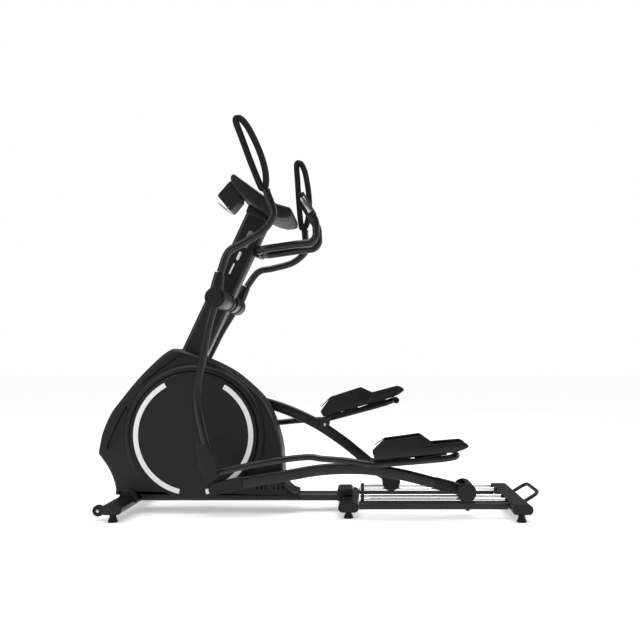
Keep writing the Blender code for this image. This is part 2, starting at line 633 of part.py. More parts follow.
NECK_HALF = 0.047
top_front = mast_point(MAST_TOP_Z, -MAST_DEPTH / 2.0)
top_back = mast_point(MAST_TOP_Z, MAST_DEPTH / 2.0)
up_x = GAP * math.sin(MAST_LEAN)
up_z = GAP * math.cos(MAST_LEAN)
node("console_neck", prism([(top_front[0] + up_x, top_front[1] + up_z), (top_back[0] + up_x, top_back[1] + up_z),
                            (-0.222, 1.2885), (-0.305, 1.3472)], -NECK_HALF, NECK_HALF), BLACK_PLASTIC)

PANEL_START = (-0.350, 1.453)
PANEL_STOP = (-0.181, 1.331)
PANEL_DEPTH = 0.004
panel_map = frame_map(Vector(PANEL_START), Vector(PANEL_STOP) - Vector(PANEL_START))
panel_length = (Vector(PANEL_STOP) - Vector(PANEL_START)).length
console_outline = [PANEL_START, PANEL_STOP, (-0.116, 1.312), (-0.107, 1.294), (-0.106, 1.276), (-0.120, 1.269),
                   (-0.152, 1.266), (-0.2265, 1.292), (-0.308, 1.351), (-0.366, 1.422), (-0.364, 1.446)]
console = node("console_shell", prism(console_outline, -CONSOLE_HALF, CONSOLE_HALF), BLACK_PLASTIC)
pocket = [tuple(panel_map(0.012, -PANEL_DEPTH)), tuple(panel_map(panel_length - 0.010, -PANEL_DEPTH)),
          tuple(panel_map(panel_length - 0.010, 0.02)), tuple(panel_map(0.012, 0.02))]
cut(console, prism(pocket, -CONSOLE_HALF + 0.012, CONSOLE_HALF - 0.012))
panel = [tuple(panel_map(0.012 + GAP, -PANEL_DEPTH + GAP)), tuple(panel_map(panel_length - 0.010 - GAP, -PANEL_DEPTH + GAP)),
         tuple(panel_map(panel_length - 0.010 - GAP, -0.0005)), tuple(panel_map(0.012 + GAP, -0.0005))]
screen = node("console_screen", prism(panel, -CONSOLE_HALF + 0.0123, CONSOLE_HALF - 0.0123), SCREEN)
KEY_HALF = 0.011
KEY_Y = 0.060
KEY_ALONG = panel_length - 0.034
for side_name, side in SIDES.items():
    near = side * KEY_Y - KEY_HALF
    far = side * KEY_Y + KEY_HALF
    well = [tuple(panel_map(KEY_ALONG - KEY_HALF - GAP, -0.0022)), tuple(panel_map(KEY_ALONG + KEY_HALF + GAP, -0.0022)),
            tuple(panel_map(KEY_ALONG + KEY_HALF + GAP, 0.01)), tuple(panel_map(KEY_ALONG - KEY_HALF - GAP, 0.01))]
    cut(screen, prism(well, near - GAP, far + GAP))
    key = [tuple(panel_map(KEY_ALONG - KEY_HALF, -0.0006)), tuple(panel_map(KEY_ALONG + KEY_HALF, -0.0006)),
           tuple(panel_map(KEY_ALONG + KEY_HALF - 0.001, 0.0015)), tuple(panel_map(KEY_ALONG - KEY_HALF + 0.001, 0.0015))]
    middle = panel_map(KEY_ALONG, 0.0)
    node("console_key_" + side_name, prism(key, near, far), RUBBER, (middle.x, side * KEY_Y, middle.y))

# fixed bar: a U of tube clamped to the mast's rear face, with a short grip on each leg
bar_seat = mast_point(1.170, MAST_DEPTH / 2.0 + FIXED_TUBE + 0.003)
grip_low = Vector((-0.0195, 0.0, 1.2815))
grip_top = Vector((-0.0770, 0.0, 1.3800))
grip_way = (grip_top - grip_low).normalized()
leg_top = grip_low - grip_way * 0.022
half_u = [(bar_seat[0], FIXED_HALF, bar_seat[1]), (-0.085, FIXED_HALF, 1.164), (-0.004, FIXED_HALF, 1.172),
          (leg_top.x, FIXED_HALF, leg_top.z), (grip_low.x, FIXED_HALF, grip_low.z)]
whole_u = [(x, -y, z) for x, y, z in reversed(half_u)] + half_u
node("fixed_bar", sweep(bent_path(whole_u, 0.045), round_section(FIXED_TUBE), side=(1.0, 0.0, 0.0)), BLACK_PAINT)
for side_name, side in SIDES.items():
    y = Vector((0.0, side * FIXED_HALF, 0.0))
    path = [grip_low + y + grip_way * 0.0008, grip_low + y + grip_way * 0.004, grip_top + y - grip_way * 0.004, grip_top + y]
    rings = sweep_rings(path, round_section(FIXED_GRIP, 12))
    for ring, middle in ((rings[0], path[0]), (rings[-1], path[-1])):
        ring[:] = [middle + (p - middle) * 0.86 for p in ring]
    node("fixed_grip_" + side_name, loft(rings), RUBBER)

# two-part clamp that holds the fixed bar on the mast
CLAMP_HALF = 0.030
clamp_seat = mast_point(1.170, MAST_DEPTH / 2.0 + GAP)
clamp_map = frame_map(Vector(clamp_seat), Vector((math.cos(MAST_LEAN), -math.sin(MAST_LEAN))))
clamp_reach = 2.0 * FIXED_TUBE + 0.006
clamp = node("bar_clamp", prism([tuple(clamp_map(0.0, -0.026)), tuple(clamp_map(clamp_reach, -0.022)),
                                 tuple(clamp_map(clamp_reach, 0.020)), tuple(clamp_map(0.0, 0.024))],
                                -CLAMP_HALF, CLAMP_HALF), BLACK_PAINT)
bar_line = [Vector((bar_seat[0], -FIXED_HALF, bar_seat[1])), Vector((bar_seat[0], FIXED_HALF, bar_seat[1]))]
cut(clamp, sweep(bar_line, bore_section(FIXED_TUBE), side=(1.0, 0.0, 0.0)))

# ---- moving side assemblies ---------------------------------------------------------------
SWING_BOW = [(0.030, 0.0020), (0.181, 0.029), (0.325, 0.046), (0.431, 0.059), (0.523, 0.067), (0.635, 0.063),
             (0.750, 0.044), (0.834, 0.0275), (0.930, 0.011), (1.000, 0.0)]
HANDLE_LINE = [(0.004, 0.030), (0.0202, 0.1124), (0.050, 0.188), (0.1124, 0.2269), (0.1906, 0.2791),
               (0.2306, 0.3383), (0.2281, 0.3747), (0.2083, 0.4244), (0.2004, 0.4463)]
GRIP_LOOP = [(0.1985, 0.460), (0.1957, 0.5233), (0.1703, 0.6049), (0.1280, 0.6912), (0.0983, 0.7318),
             (0.0790, 0.7410), (0.0700, 0.7280), (0.0960, 0.6600), (0.1370, 0.5550), (0.1730, 0.4700),
             (0.1860, 0.4510)]
ARM_LINE = [(0.000, 0.0), (0.038, 0.0105), (0.102, 0.0270), (0.2885, 0.0570), (0.440, 0.0830), (0.556, 0.0905),
            (0.664, 0.0865), (0.7855, 0.0670), (0.871, 0.0470), (0.956, 0.0250), (1.046, 0.0030)]
LINK_LINE = [(-0.665, 0.0), (-0.629, 0.0102), (-0.481, 0.0362), (-0.378, 0.0498), (-0.274, 0.0569), (-0.213, 0.0478),
             (-0.118, 0.0370), (-0.0234, 0.0198), (0.010, 0.0170), (0.262, 0.0292), (0.316, 0.0350)]
PEDAL_SIDE = [(-0.006, 0.0620), (0.002, 0.0358), (0.335, 0.0556), (0.366, 0.0640), (0.390, 0.0760), (0.389, 0.0850),
              (0.3696, 0.0957), (0.2443, 0.0899), (0.1964, 0.1255), (0.0478, 0.1105)]
EYE_RADIUS = 0.020
BOLT_RADIUS = 0.007

for side_name, side in SIDES.items():
    pivots = REST[side_name]
    swing = pivots["swing"]
    elbow = pivots["elbow"]
    pin = pivots["pin"]
    roller = pivots["roller"]
    pedal = pivots["pedal"]

    # handle: local frame hangs down the line from the upper pivot to the lower one
    down = frame_map(swing, elbow - swing)
    swing_pivot = (swing.x, side * SWING_Y, swing.y)
    path = []
    for along, bow in SWING_BOW:
        spot = down(along * SWING_LENGTH, -bow)
        path.append((spot.x, side * SWING_Y, spot.y))
    tube = sweep(smooth_path(path, 2), round_section(SWING_TUBE))
    arm = node("swing_arm_" + side_name, tube, BLACK_PAINT, swing_pivot)
    hub_low = side * HUB_INNER_Y
    hub_high = side * (SWING_Y + 0.016)
    # the hub takes the lower tube and the socket of the upper handle
    join(arm, turned(swing.x, swing.y, [(hub_low, HUB_RADIUS), (hub_high, HUB_RADIUS)], 24))
    socket = [down(-0.030, -0.030), down(-0.030, 0.030), down(-0.098, 0.034), down(-0.104, -0.014)]
    join(arm, prism([tuple(p) for p in socket], side * (SWING_Y - 0.020), side * (SWING_Y + 0.0155)))
    join(arm, turned(elbow.x, elbow.y, [(side * (SWING_Y - 0.0155), EYE_RADIUS), (side * (SWING_Y + 0.0155), EYE_RADIUS)], 14))
    cut(arm, turned(swing.x, swing.y, [(side * (HUB_INNER_Y - 0.01), SPINDLE_RADIUS + RUN),
                                       (side * (spindle_end + 0.0005), SPINDLE_RADIUS + RUN)], 16))

    # upper tube of the handle, from the socket to the loop of the grip
    upright = frame_map(swing, swing - elbow)
    path = []
    for back, rise in HANDLE_LINE:
        spot = upright(rise, -back)
        path.append((spot.x, side * SWING_Y, spot.y))
    top_start = upright(0.1045, -0.0185)
    path = [(top_start.x, side * SWING_Y, top_start.y)] + path[2:]
    handle = node("upper_handle_" + side_name, sweep(smooth_path(path, 2), round_section(HANDLE_RADIUS)),
                  BLACK_PAINT, swing_pivot)
    cut(arm, sweep([Vector(path[0]), Vector(path[1])], bore_section(HANDLE_RADIUS)))
    loop = []
    count = len(GRIP_LOOP)
    for i, (back, rise) in enumerate(GRIP_LOOP):
        spot = upright(rise, -back)
        loop.append(Vector((spot.x, side * (SWING_Y - 0.012 * math.sin(math.pi * i / count)), spot.y)))
    closed_path = smooth_path([loop[-1]] + loop + [loop[0], loop[1]], 2)[2:-4]
    grip = node("handle_grip_" + side_name, sweep(closed_path, round_section(GRIP_RADIUS), closed=True), FOAM, swing_pivot)
    cut(grip, sweep([Vector(path[-2]), Vector(path[-1]) + (Vector(path[-1]) - Vector(path[-2])).normalized() * 0.001],
                    bore_section(HANDLE_RADIUS)))

    # plastic cover over the lower pivot of the handle
    cover = [down(SWING_LENGTH * f, o) for f, o in ((0.815, -0.064), (0.845, -0.020), (0.890, 0.016), (1.000, 0.024),
                                                     (1.036, -0.002), (1.010, -0.028), (0.935, -0.056))]
    face = SWING_Y + 0.016 + GAP
    node("joint_cover_" + side_name, prism([tuple(p) for p in cover], side * face, side * (face + 0.006)),
         BLACK_PLASTIC, swing_pivot)

    # pedal arm: from the crank pin to the roller axle
    chord = frame_map(pin, roller - pin)
    roller_pivot = (roller.x, side * ARM_Y, roller.y)
    path = []
    for along, up in ARM_LINE:
        spot = chord(along, up)
        path.append((spot.x, side * ARM_Y, spot.y))
    arm_tube = sweep(smooth_path(path, 2), box_section(ARM_WIDTH, ARM_HEIGHT, 0.010))
    pedal_arm = node("pedal_arm_" + side_name, arm_tube, BLACK_PAINT, roller_pivot)
    arm_low = side * (ARM_Y - ARM_WIDTH / 2.0 + RUN)
    arm_high = side * (ARM_Y + ARM_WIDTH / 2.0 - RUN)
    join(pedal_arm, turned(pin.x, pin.y, [(arm_low, 0.0235), (arm_high, 0.0235)], 20))
    join(pedal_arm, turned(roller.x, roller.y, [(arm_low, 0.021), (arm_high, 0.021)], 20))
    cut(pedal_arm, turned(roller.x, roller.y, [(-0.3, 0.007 + RUN), (0.3, 0.007 + RUN)], 16))
    pedal_pin = [(side * (ARM_Y - 0.0235), PEDAL_PIN_RADIUS), (side * 0.222, PEDAL_PIN_RADIUS)]
    join(pedal_arm, turned(pedal.x, pedal.y, pedal_pin, 12))

    # roller carriage: drum cover over the two grooved wheels
    low = 0.077
    high = 0.219
    drum = ROLLER_RIM + 0.005
    drum_outline = arc(roller.x, roller.y, drum, -35, 92, 8) + arc(roller.x, roller.y, drum - 0.003, 92, -35, 8)
    housing = node("roller_housing_" + side_name, prism(drum_outline, side * low, side * high), BLACK_PLASTIC, roller_pivot)
    for a, b in ((low, low + 0.004), (high - 0.004, high)):
        join(housing, turned(roller.x, roller.y, [(side * a, drum - 0.0005), (side * b, drum - 0.0005)]))
    wheel = ROLLER_HALF
    profile = [(side * (low + 0.0045), 0.0065)]
    for middle in (ROD_INNER_Y, ROD_OUTER_Y):
        profile += [(side * (middle - wheel), 0.0065), (side * (middle - wheel), ROLLER_RIM),
                    (side * (middle - 0.0105), ROLLER_RIM), (side * (middle - 0.0060), ROLLER_GROOVE - GAP),
                    (side * (middle + 0.0060), ROLLER_GROOVE - GAP), (side * (middle + 0.0105), ROLLER_RIM), (side * (middle + wheel), ROLLER_RIM),
                    (side * (middle + wheel), 0.0065)]
    profile.append((side * (high - 0.0045), 0.0065))
    node("roller_wheels_" + side_name, turned(roller.x, roller.y, profile, 16), RUBBER, roller_pivot)

    # link tube with the pedal's pivot bracket
    along_link = frame_map(pedal, pedal - elbow)
    pedal_pivot = (pedal.x, side * LINK_Y, pedal.y)
    path = []
    for along, up in LINK_LINE:
        spot = along_link(along, up)
        path.append((spot.x, side * LINK_Y, spot.y))
    path = smooth_path(path, 1)
    for along, up, y in ((0.334, 0.0375, 0.232), (0.343, 0.0390, 0.216), (0.345, 0.0395, 0.130)):
        spot = along_link(along, up)
        path.append(Vector((spot.x, side * y, spot.y)))
    link = node("link_tube_" + side_name, sweep(path, round_section(LINK_RADIUS)), BLACK_PAINT, pedal_pivot)
    join(link, turned(elbow.x, elbow.y, [(side * (LINK_Y - 0.0125), EYE_RADIUS), (side * (LINK_Y + 0.0125), EYE_RADIUS)], 16))
    outer = [(side * (ARM_Y + ARM_WIDTH / 2.0 + 0.001), EYE_RADIUS), (side * (LINK_Y + 0.001), EYE_RADIUS)]
    join(link, turned(pedal.x, pedal.y, outer, 16))
    plate = [along_link(-0.016, 0.026), along_link(0.150, 0.0335), along_link(0.150, 0.0375), along_link(-0.016, 0.030)]
    join(link, prism([tuple(p) for p in plate], side * (ARM_Y - 0.0230), side * (LINK_Y + 0.002)))
    lug = [along_link(0.021 * math.cos(math.radians(a)), 0.021 * math.sin(math.radians(a))) for a in range(180, 361, 30)]
    lug += [along_link(0.040, 0.0305), along_link(-0.0155, 0.028)]
    join(link, prism([tuple(p) for p in lug], side * (ARM_Y - 0.0225), side * (ARM_Y - 0.0170)))
    cut(link, turned(pedal.x, pedal.y, [(side * 0.100, PEDAL_PIN_RADIUS + RUN), (side * 0.2225, PEDAL_PIN_RADIUS + RUN)], 16))

    # footplate with raised toe and side walls
    rise = 0.0022
    outline = [along_link(a, u + rise) for a, u in PEDAL_SIDE]
    inner_y = PEDAL_OUTER_Y - PEDAL_WIDTH
    footplate = node("pedal_" + side_name, prism([tuple(p) for p in outline], side * inner_y, side * PEDAL_OUTER_Y),
                     BLACK_PLASTIC, pedal_pivot)
    well = [along_link(a, u) for a, u in ((0.016, 0.062), (0.028, 0.0480), (0.350, 0.0700), (0.381, 0.085), (0.45, 0.086),
                                         (0.45, 0.20), (0.060, 0.20), (0.046, 0.100))]
    cut(footplate, prism([tuple(p) for p in well], side * (inner_y + 0.005), side * (PEDAL_OUTER_Y - 0.005)))
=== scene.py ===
"""Elliptical trainer: a front-drive cross trainer with roller rails, dressed on its CAD frame."""
import json
import math

import bmesh
import bpy
from mathutils import Matrix, Vector


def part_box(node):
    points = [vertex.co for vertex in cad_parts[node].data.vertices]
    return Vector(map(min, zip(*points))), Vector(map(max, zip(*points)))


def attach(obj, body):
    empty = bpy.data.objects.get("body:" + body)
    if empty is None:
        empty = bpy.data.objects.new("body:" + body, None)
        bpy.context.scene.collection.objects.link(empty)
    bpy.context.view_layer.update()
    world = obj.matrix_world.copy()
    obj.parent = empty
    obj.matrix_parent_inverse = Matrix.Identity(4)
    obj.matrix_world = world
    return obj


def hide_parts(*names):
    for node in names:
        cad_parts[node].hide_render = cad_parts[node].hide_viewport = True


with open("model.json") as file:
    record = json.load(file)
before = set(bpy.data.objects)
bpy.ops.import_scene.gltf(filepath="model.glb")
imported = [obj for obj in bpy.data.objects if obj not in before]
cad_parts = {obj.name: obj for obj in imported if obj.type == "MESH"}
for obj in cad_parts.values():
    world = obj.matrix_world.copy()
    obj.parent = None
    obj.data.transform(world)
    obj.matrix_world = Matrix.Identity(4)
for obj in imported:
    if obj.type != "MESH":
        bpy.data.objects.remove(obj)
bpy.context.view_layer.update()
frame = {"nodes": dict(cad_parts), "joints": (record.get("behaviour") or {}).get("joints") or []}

# ---- studio ---------------------------------------------------------------------------------
# A pale seamless floor under three large soft lamps, with a white surround.
# The camera stands level at the rider's left side, a little above the middle of the machine.
scene = bpy.context.scene
scene.view_settings.view_transform = "Standard"
camera_data = bpy.data.cameras.new("studio_camera")
camera_data.lens = 45.0
camera_data.sensor_width = 36.0
camera_data.shift_x = -0.06875
camera_data.shift_y = 0.0625
camera_data.clip_end = 100.0
camera = bpy.data.objects.new("studio_camera", camera_data)
camera.location = (0.20, -3.548, 0.664)
camera.rotation_euler = (math.radians(90.0), 0.0, 0.0)
scene.collection.objects.link(camera)
scene.camera = camera

FLOOR_GLOW = 0.42
FLOOR_SIZE = 60.0
floor_finish = bpy.data.materials.new("pale_floor")
floor_finish.use_nodes = True
floor_shader = floor_finish.node_tree.nodes["Principled BSDF"]
floor_shader.inputs["Base Color"].default_value = (0.82, 0.82, 0.82, 1.0)
floor_shader.inputs["Roughness"].default_value = 0.55
floor_shader.inputs["Specular IOR Level"].default_value = 0.15
floor_shader.inputs["Emission Color"].default_value = (1.0, 1.0, 1.0, 1.0)
floor_shader.inputs["Emission Strength"].default_value = FLOOR_GLOW
floor_mesh = bpy.data.meshes.new("floor")
half_floor = FLOOR_SIZE / 2.0
floor_mesh.from_pydata([(-half_floor, -half_floor, -0.0005), (half_floor, -half_floor, -0.0005),
                        (half_floor, half_floor, -0.0005), (-half_floor, half_floor, -0.0005)], [],
                       [(0, 1, 2, 3)])
floor_mesh.materials.append(floor_finish)
floor = bpy.data.objects.new("floor", floor_mesh)
scene.collection.objects.link(floor)

surround = bpy.data.worlds.new("white_surround")
surround.use_nodes = True
scene.world = surround
sky = surround.node_tree
sky.nodes.clear()
sky_out = sky.nodes.new("ShaderNodeOutputWorld")
sky_mix = sky.nodes.new("ShaderNodeMixShader")
seen_white = sky.nodes.new("ShaderNodeBackground")
seen_white.inputs["Color"].default_value = (1.0, 1.0, 1.0, 1.0)
seen_white.inputs["Strength"].default_value = 1.0
soft_fill = sky.nodes.new("ShaderNodeBackground")
soft_fill.inputs["Color"].default_value = (0.97, 0.98, 1.0, 1.0)
soft_fill.inputs["Strength"].default_value = 0.13
ray = sky.nodes.new("ShaderNodeLightPath")
sky.links.new(ray.outputs["Is Camera Ray"], sky_mix.inputs["Fac"])
sky.links.new(soft_fill.outputs["Background"], sky_mix.inputs[1])
sky.links.new(seen_white.outputs["Background"], sky_mix.inputs[2])
sky.links.new(sky_mix.outputs["Shader"], sky_out.inputs["Surface"])

for lamp_name, place, aim, size, power in (
        ("overhead", (0.1, 0.2, 3.4), (0.0, 0.0, 0.3), 3.2, 62.0),
        ("front_left", (-3.2, -2.4, 2.6), (-0.2, 0.0, 0.7), 2.4, 60.0),
        ("rear_right", (3.4, 1.4, 2.2), (0.1, 0.0, 0.6), 2.0, 60.0)):
    lamp_data = bpy.data.lights.new(lamp_name, "AREA")
    lamp_data.shape = "SQUARE"
    lamp_data.size = size
    lamp_data.energy = power
    lamp = bpy.data.objects.new(lamp_name, lamp_data)
    lamp.location = place
    lamp.rotation_mode = "QUATERNION"
    lamp.rotation_quaternion = (Vector(place) - Vector(aim)).to_track_quat("Z", "Y")
    scene.collection.objects.link(lamp)

SKYLIGHT_SPREAD = math.radians(70.0)
skylight_data = bpy.data.lights.new("skylight", "SUN")
skylight_data.angle = SKYLIGHT_SPREAD
skylight_data.energy = 1.9
skylight = bpy.data.objects.new("skylight", skylight_data)
skylight.location = (0.0, 0.0, 4.0)
scene.collection.objects.link(skylight)

# ---- cross bars -----------------------------------------------------------------------------
# Flat-oval steel tubes, cut square, powder coated satin black and closed with moulded caps.
# The front one carries the two transport wheels on welded lugs, the middle one the rail saddle.
SIDES = (("left", -1.0), ("right", 1.0))
GAP = 0.0003


def powder_coat(name, dark, light, rough, grain, depth, metal=0.0, spec=0.26):
    """A finish whose colour, gloss and fine grain all come from noise in the piece's own space."""
    finish = bpy.data.materials.new(name)
    finish.use_nodes = True
    tree = finish.node_tree
    shader = tree.nodes["Principled BSDF"]
    shader.inputs["Metallic"].default_value = metal
    shader.inputs["Specular IOR Level"].default_value = spec
    where = tree.nodes.new("ShaderNodeTexCoord")
    cloud = tree.nodes.new("ShaderNodeTexNoise")
    cloud.inputs["Scale"].default_value = 9.0
    cloud.inputs["Detail"].default_value = 5.0
    shade = tree.nodes.new("ShaderNodeValToRGB")
    shade.color_ramp.elements[0].position = 0.35
    shade.color_ramp.elements[0].color = (*dark, 1.0)
    shade.color_ramp.elements[1].position = 0.68
    shade.color_ramp.elements[1].color = (*light, 1.0)
    gloss = tree.nodes.new("ShaderNodeMapRange")
    gloss.inputs["From Min"].default_value = 0.3
    gloss.inputs["From Max"].default_value = 0.7
    gloss.inputs["To Min"].default_value = rough - 0.04
    gloss.inputs["To Max"].default_value = rough + 0.05
    speck = tree.nodes.new("ShaderNodeTexNoise")
    speck.inputs["Scale"].default_value = grain
    speck.inputs["Detail"].default_value = 2.0
    bump = tree.nodes.new("ShaderNodeBump")
    bump.inputs["Strength"].default_value = 0.35
    bump.inputs["Distance"].default_value = depth
    tree.links.new(where.outputs["Object"], cloud.inputs["Vector"])
    tree.links.new(where.outputs["Object"], speck.inputs["Vector"])
    tree.links.new(cloud.outputs["Fac"], shade.inputs["Fac"])
    tree.links.new(shade.outputs["Color"], shader.inputs["Base Color"])
    tree.links.new(cloud.outputs["Fac"], gloss.inputs["Value"])
    tree.links.new(gloss.outputs["Result"], shader.inputs["Roughness"])
    tree.links.new(speck.outputs["Fac"], bump.inputs["Height"])
    tree.links.new(bump.outputs["Normal"], shader.inputs["Normal"])
    return finish


def build(name, shape, finish, body="frame", stands_for=(), round_to=0.0, crease=32.0):
    """Turn a finished bmesh into a piece riding on its body, with its edges rounded if asked."""
    bmesh.ops.remove_doubles(shape, verts=shape.verts, dist=0.000001)
    bmesh.ops.recalc_face_normals(shape, faces=shape.faces)
    mesh = bpy.data.meshes.new(name)
    shape.to_mesh(mesh)
    shape.free()
    mesh.materials.append(finish)
    mesh.shade_smooth()
    thing = bpy.data.objects.new(name, mesh)
    scene.collection.objects.link(thing)
    if round_to:
        edge = thing.modifiers.new("rounded_edges", "BEVEL")
        edge.width = round_to
        edge.segments = 3
        edge.limit_method = "ANGLE"
        edge.angle_limit = math.radians(crease)
        edge.harden_normals = False
    mesh.set_sharp_from_angle(angle=math.radians(crease))
    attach(thing, body)
    if stands_for:
        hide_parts(*stands_for)
    return thing


def loft(rings, closed=False):
    """Skin rings of equal length; the ends are filled unless the rings close on themselves."""
    shape = bmesh.new()
    rows = [[shape.verts.new(p) for p in ring] for ring in rings]
    count = len(rows[0])
    for i in range(len(rows) if closed else len(rows) - 1):
        a = rows[i]
        b = rows[(i + 1) % len(rows)]
        for j in range(count):
            k = (j + 1) % count
            shape.faces.new((a[j], a[k], b[k], b[j]))
    if not closed:
        shape.faces.new(rows[0])
        shape.faces.new(rows[-1])
    return shape


def merge(*shapes):
    """Put several closed shapes into one bmesh."""
    whole = shapes[0]
    for extra in shapes[1:]:
        lump = bpy.data.meshes.new("lump")
        extra.to_mesh(lump)
        extra.free()
        whole.from_mesh(lump)
        bpy.data.meshes.remove(lump)
    return whole


def oval(width, height, corner, steps=7):
    """Rounded rectangle, width along the first axis and height along the second."""
    points = []
    for quarter, (sx, sy) in enumerate(((1, 1), (-1, 1), (-1, -1), (1, -1))):
        for i in range(steps + 1):
            a = math.pi / 2.0 * (quarter + i / steps)
            points.append((sx * (width / 2.0 - corner) + corner * math.cos(a),
                           sy * (height / 2.0 - corner) + corner * math.sin(a)))
    return points


def plate(outline, low, high):
    """Solid of an X-Z outline between two Y planes."""
    return loft([[Vector((x, y, z)) for x, z in outline] for y in (low, high)])


def outwards(side, start, profile):
    """Profile whose first values run out from a distance beside the middle plane."""
    return [(side * (start + out), radius) for out, radius in profile]


def turned(cx, cz, profile, count=64):
    """Solid of revolution about a Y axis; profile runs from end to end as (y, radius)."""
    step = 2.0 * math.pi / count
    return loft([[Vector((cx + r * math.cos(i * step), y, cz + r * math.sin(i * step))) for i in range(count)]
                 for y, r in profile])


def arc(cx, cz, radius, start, stop, count):
    """Points on a circle in the X-Z plane, angles in degrees."""
    out = []
    for i in range(count + 1):
        a = math.radians(start + (stop - start) * i / count)
        out.append((cx + radius * math.cos(a), cz + radius * math.sin(a)))
    return out


satin_black = powder_coat("satin_black_coat", (0.0062, 0.0063, 0.0066), (0.0086, 0.0087, 0.0091),
                           0.32, 900.0, 0.0004, 0.0, 0.34)
moulded_black = powder_coat("moulded_black", (0.0064, 0.0065, 0.0068), (0.0088, 0.0089, 0.0093),
                             0.44, 1500.0, 0.0005)

BAR_WIDTH = 0.086
BAR_HEIGHT = 0.040
bar_section = oval(BAR_WIDTH, BAR_HEIGHT, 0.0185)
CAP_LENGTH = 0.006
CAP_PROFILE = ((0.0, 1.0), (0.0050, 1.0), (0.0058, 0.985), (0.0060, 0.965), (0.0060, 0.885), (0.0050, 0.875),
               (0.0050, 0.845), (0.0060, 0.835))


def bar_between(name, half, finish=satin_black):
    """The tube and its two moulded end caps, each cap with a groove just inside its rim."""
    low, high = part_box("foot_" + name.split("_")[0] + "_left")
    x = (low.x + high.x) / 2.0
    bar_low, bar_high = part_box(name)
    z = bar_low.z + BAR_HEIGHT / 2.0 if name != "front_bar" else high.z + GAP + BAR_HEIGHT / 2.0
    inner = half - CAP_LENGTH
    shape = loft([[Vector((x + u, y, z + v)) for u, v in bar_section] for y in (-inner, inner)])
    for side_name, side in SIDES:
        rings = [[Vector((x + u * s, side * (inner + GAP + (CAP_LENGTH - GAP) * d / 0.006), z + v * s))
                  for u, v in bar_section] for d, s in CAP_PROFILE]
        build(name + "_cap_" + side_name, loft(rings), moulded_black)
    return shape, x, z


END_HALF = 0.300
MID_HALF = 0.212
shape, front_x, bar_z = bar_between("front_bar", END_HALF)
WHEEL_RADIUS = 0.024
WHEEL_HALF = 0.011
WHEEL_Y = 0.232
wheel_low, wheel_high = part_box("transport_wheel_left")
wheel_x = (wheel_low.x + wheel_high.x) / 2.0
wheel_z = (wheel_low.z + wheel_high.z) / 2.0
for side_name, side in SIDES:
    lug_edge = front_x - BAR_WIDTH / 2.0 + 0.012
    lug = arc(wheel_x, wheel_z, 0.009, 90, 270, 12) + [(lug_edge, wheel_z - 0.001), (lug_edge, bar_z + 0.010)]
    inner_face = WHEEL_Y - WHEEL_HALF
    pin = outwards(side, WHEEL_Y, [(-WHEEL_HALF - 0.003, 0.004), (WHEEL_HALF + 0.001, 0.004)])
    shape = merge(shape, plate(lug, side * (inner_face - 0.0055), side * (inner_face - 0.0010)),
                  turned(wheel_x, wheel_z, pin, 20))
build("front_cross_bar", shape, satin_black, stands_for=["front_bar"])
shape, rear_x, bar_z = bar_between("rear_bar", END_HALF)
build("rear_cross_bar", shape, satin_black, stands_for=["rear_bar"])

shape, mid_x, mid_z = bar_between("mid_bar", MID_HALF)
SADDLE_HALF = 0.055
SADDLE_TOP = 0.105
saddle_front = mid_x - 0.052
saddle_back = mid_x + 0.017
saddle = arc(saddle_front + 0.014, SADDLE_TOP - 0.014, 0.014, 180, 90, 6)
saddle += arc(saddle_back - 0.014, SADDLE_TOP - 0.014, 0.014, 90, 0, 6)
saddle += [(saddle_back, mid_z), (saddle_front, mid_z)]
build("mid_cross_bar", shape, satin_black, stands_for=["mid_bar"])
build("rail_saddle", plate(saddle, -SADDLE_HALF, SADDLE_HALF), satin_black, round_to=0.004)
for side_name, side in SIDES:
    panel = [(saddle_front + 0.014, SADDLE_TOP - 0.012), (saddle_back - 0.012, SADDLE_TOP - 0.012),
             (saddle_back - 0.012, mid_z + 0.026), (saddle_front + 0.014, mid_z + 0.026)]
    pocket = plate(panel, side * (SADDLE_HALF - 0.002), side * (SADDLE_HALF + 0.0008))
    build("saddle_pocket_" + side_name, pocket, moulded_black, round_to=0.0006)

# ---- levelling feet -------------------------------------------------------------------------
# Rubber pads moulded on threaded studs; each turns by hand to level the machine.
# Short ribs round the skirt give the fingers something to hold.
sole_rubber = powder_coat("foot_rubber", (0.008, 0.008, 0.008), (0.014, 0.014, 0.014),
                          0.72, 700.0, 0.0006, 0.0, 0.3)


def circle(radius, count=28):
    step = 2.0 * math.pi / count
    return [(radius * math.cos(i * step), radius * math.sin(i * step)) for i in range(count)]


def rule_tree(name, sockets):
    """An empty geometry tree with its named size inputs."""
    tree = bpy.data.node_groups.new(name, "GeometryNodeTree")
    tree.interface.new_socket("Geometry", in_out="INPUT", socket_type="NodeSocketGeometry")
    for label, kind, value in sockets:
        socket = tree.interface.new_socket(label, in_out="INPUT", socket_type=kind)
        if value is not None:
            socket.default_value = value
    tree.interface.new_socket("Geometry", in_out="OUTPUT", socket_type="NodeSocketGeometry")
    return tree, tree.nodes.new("NodeGroupInput"), tree.nodes.new("NodeGroupOutput")


def wire(tree, *links):
    """Join sockets of a tree: each link is (node, output name, node, input name)."""
    for source, out_name, target, in_name in links:
        tree.links.new(source.outputs[out_name], target.inputs[in_name])


def end_tree(tree, tree_in, tree_out, spread):
    """Realize what was spread on the points, give it the finish and send it out."""
    real = tree.nodes.new("GeometryNodeRealizeInstances")
    coat = tree.nodes.new("GeometryNodeSetMaterial")
    wire(tree, (spread, "Instances", real, "Geometry"), (real, "Geometry", coat, "Geometry"),
         (tree_in, "Finish", coat, "Material"), (coat, "Geometry", tree_out, "Geometry"))


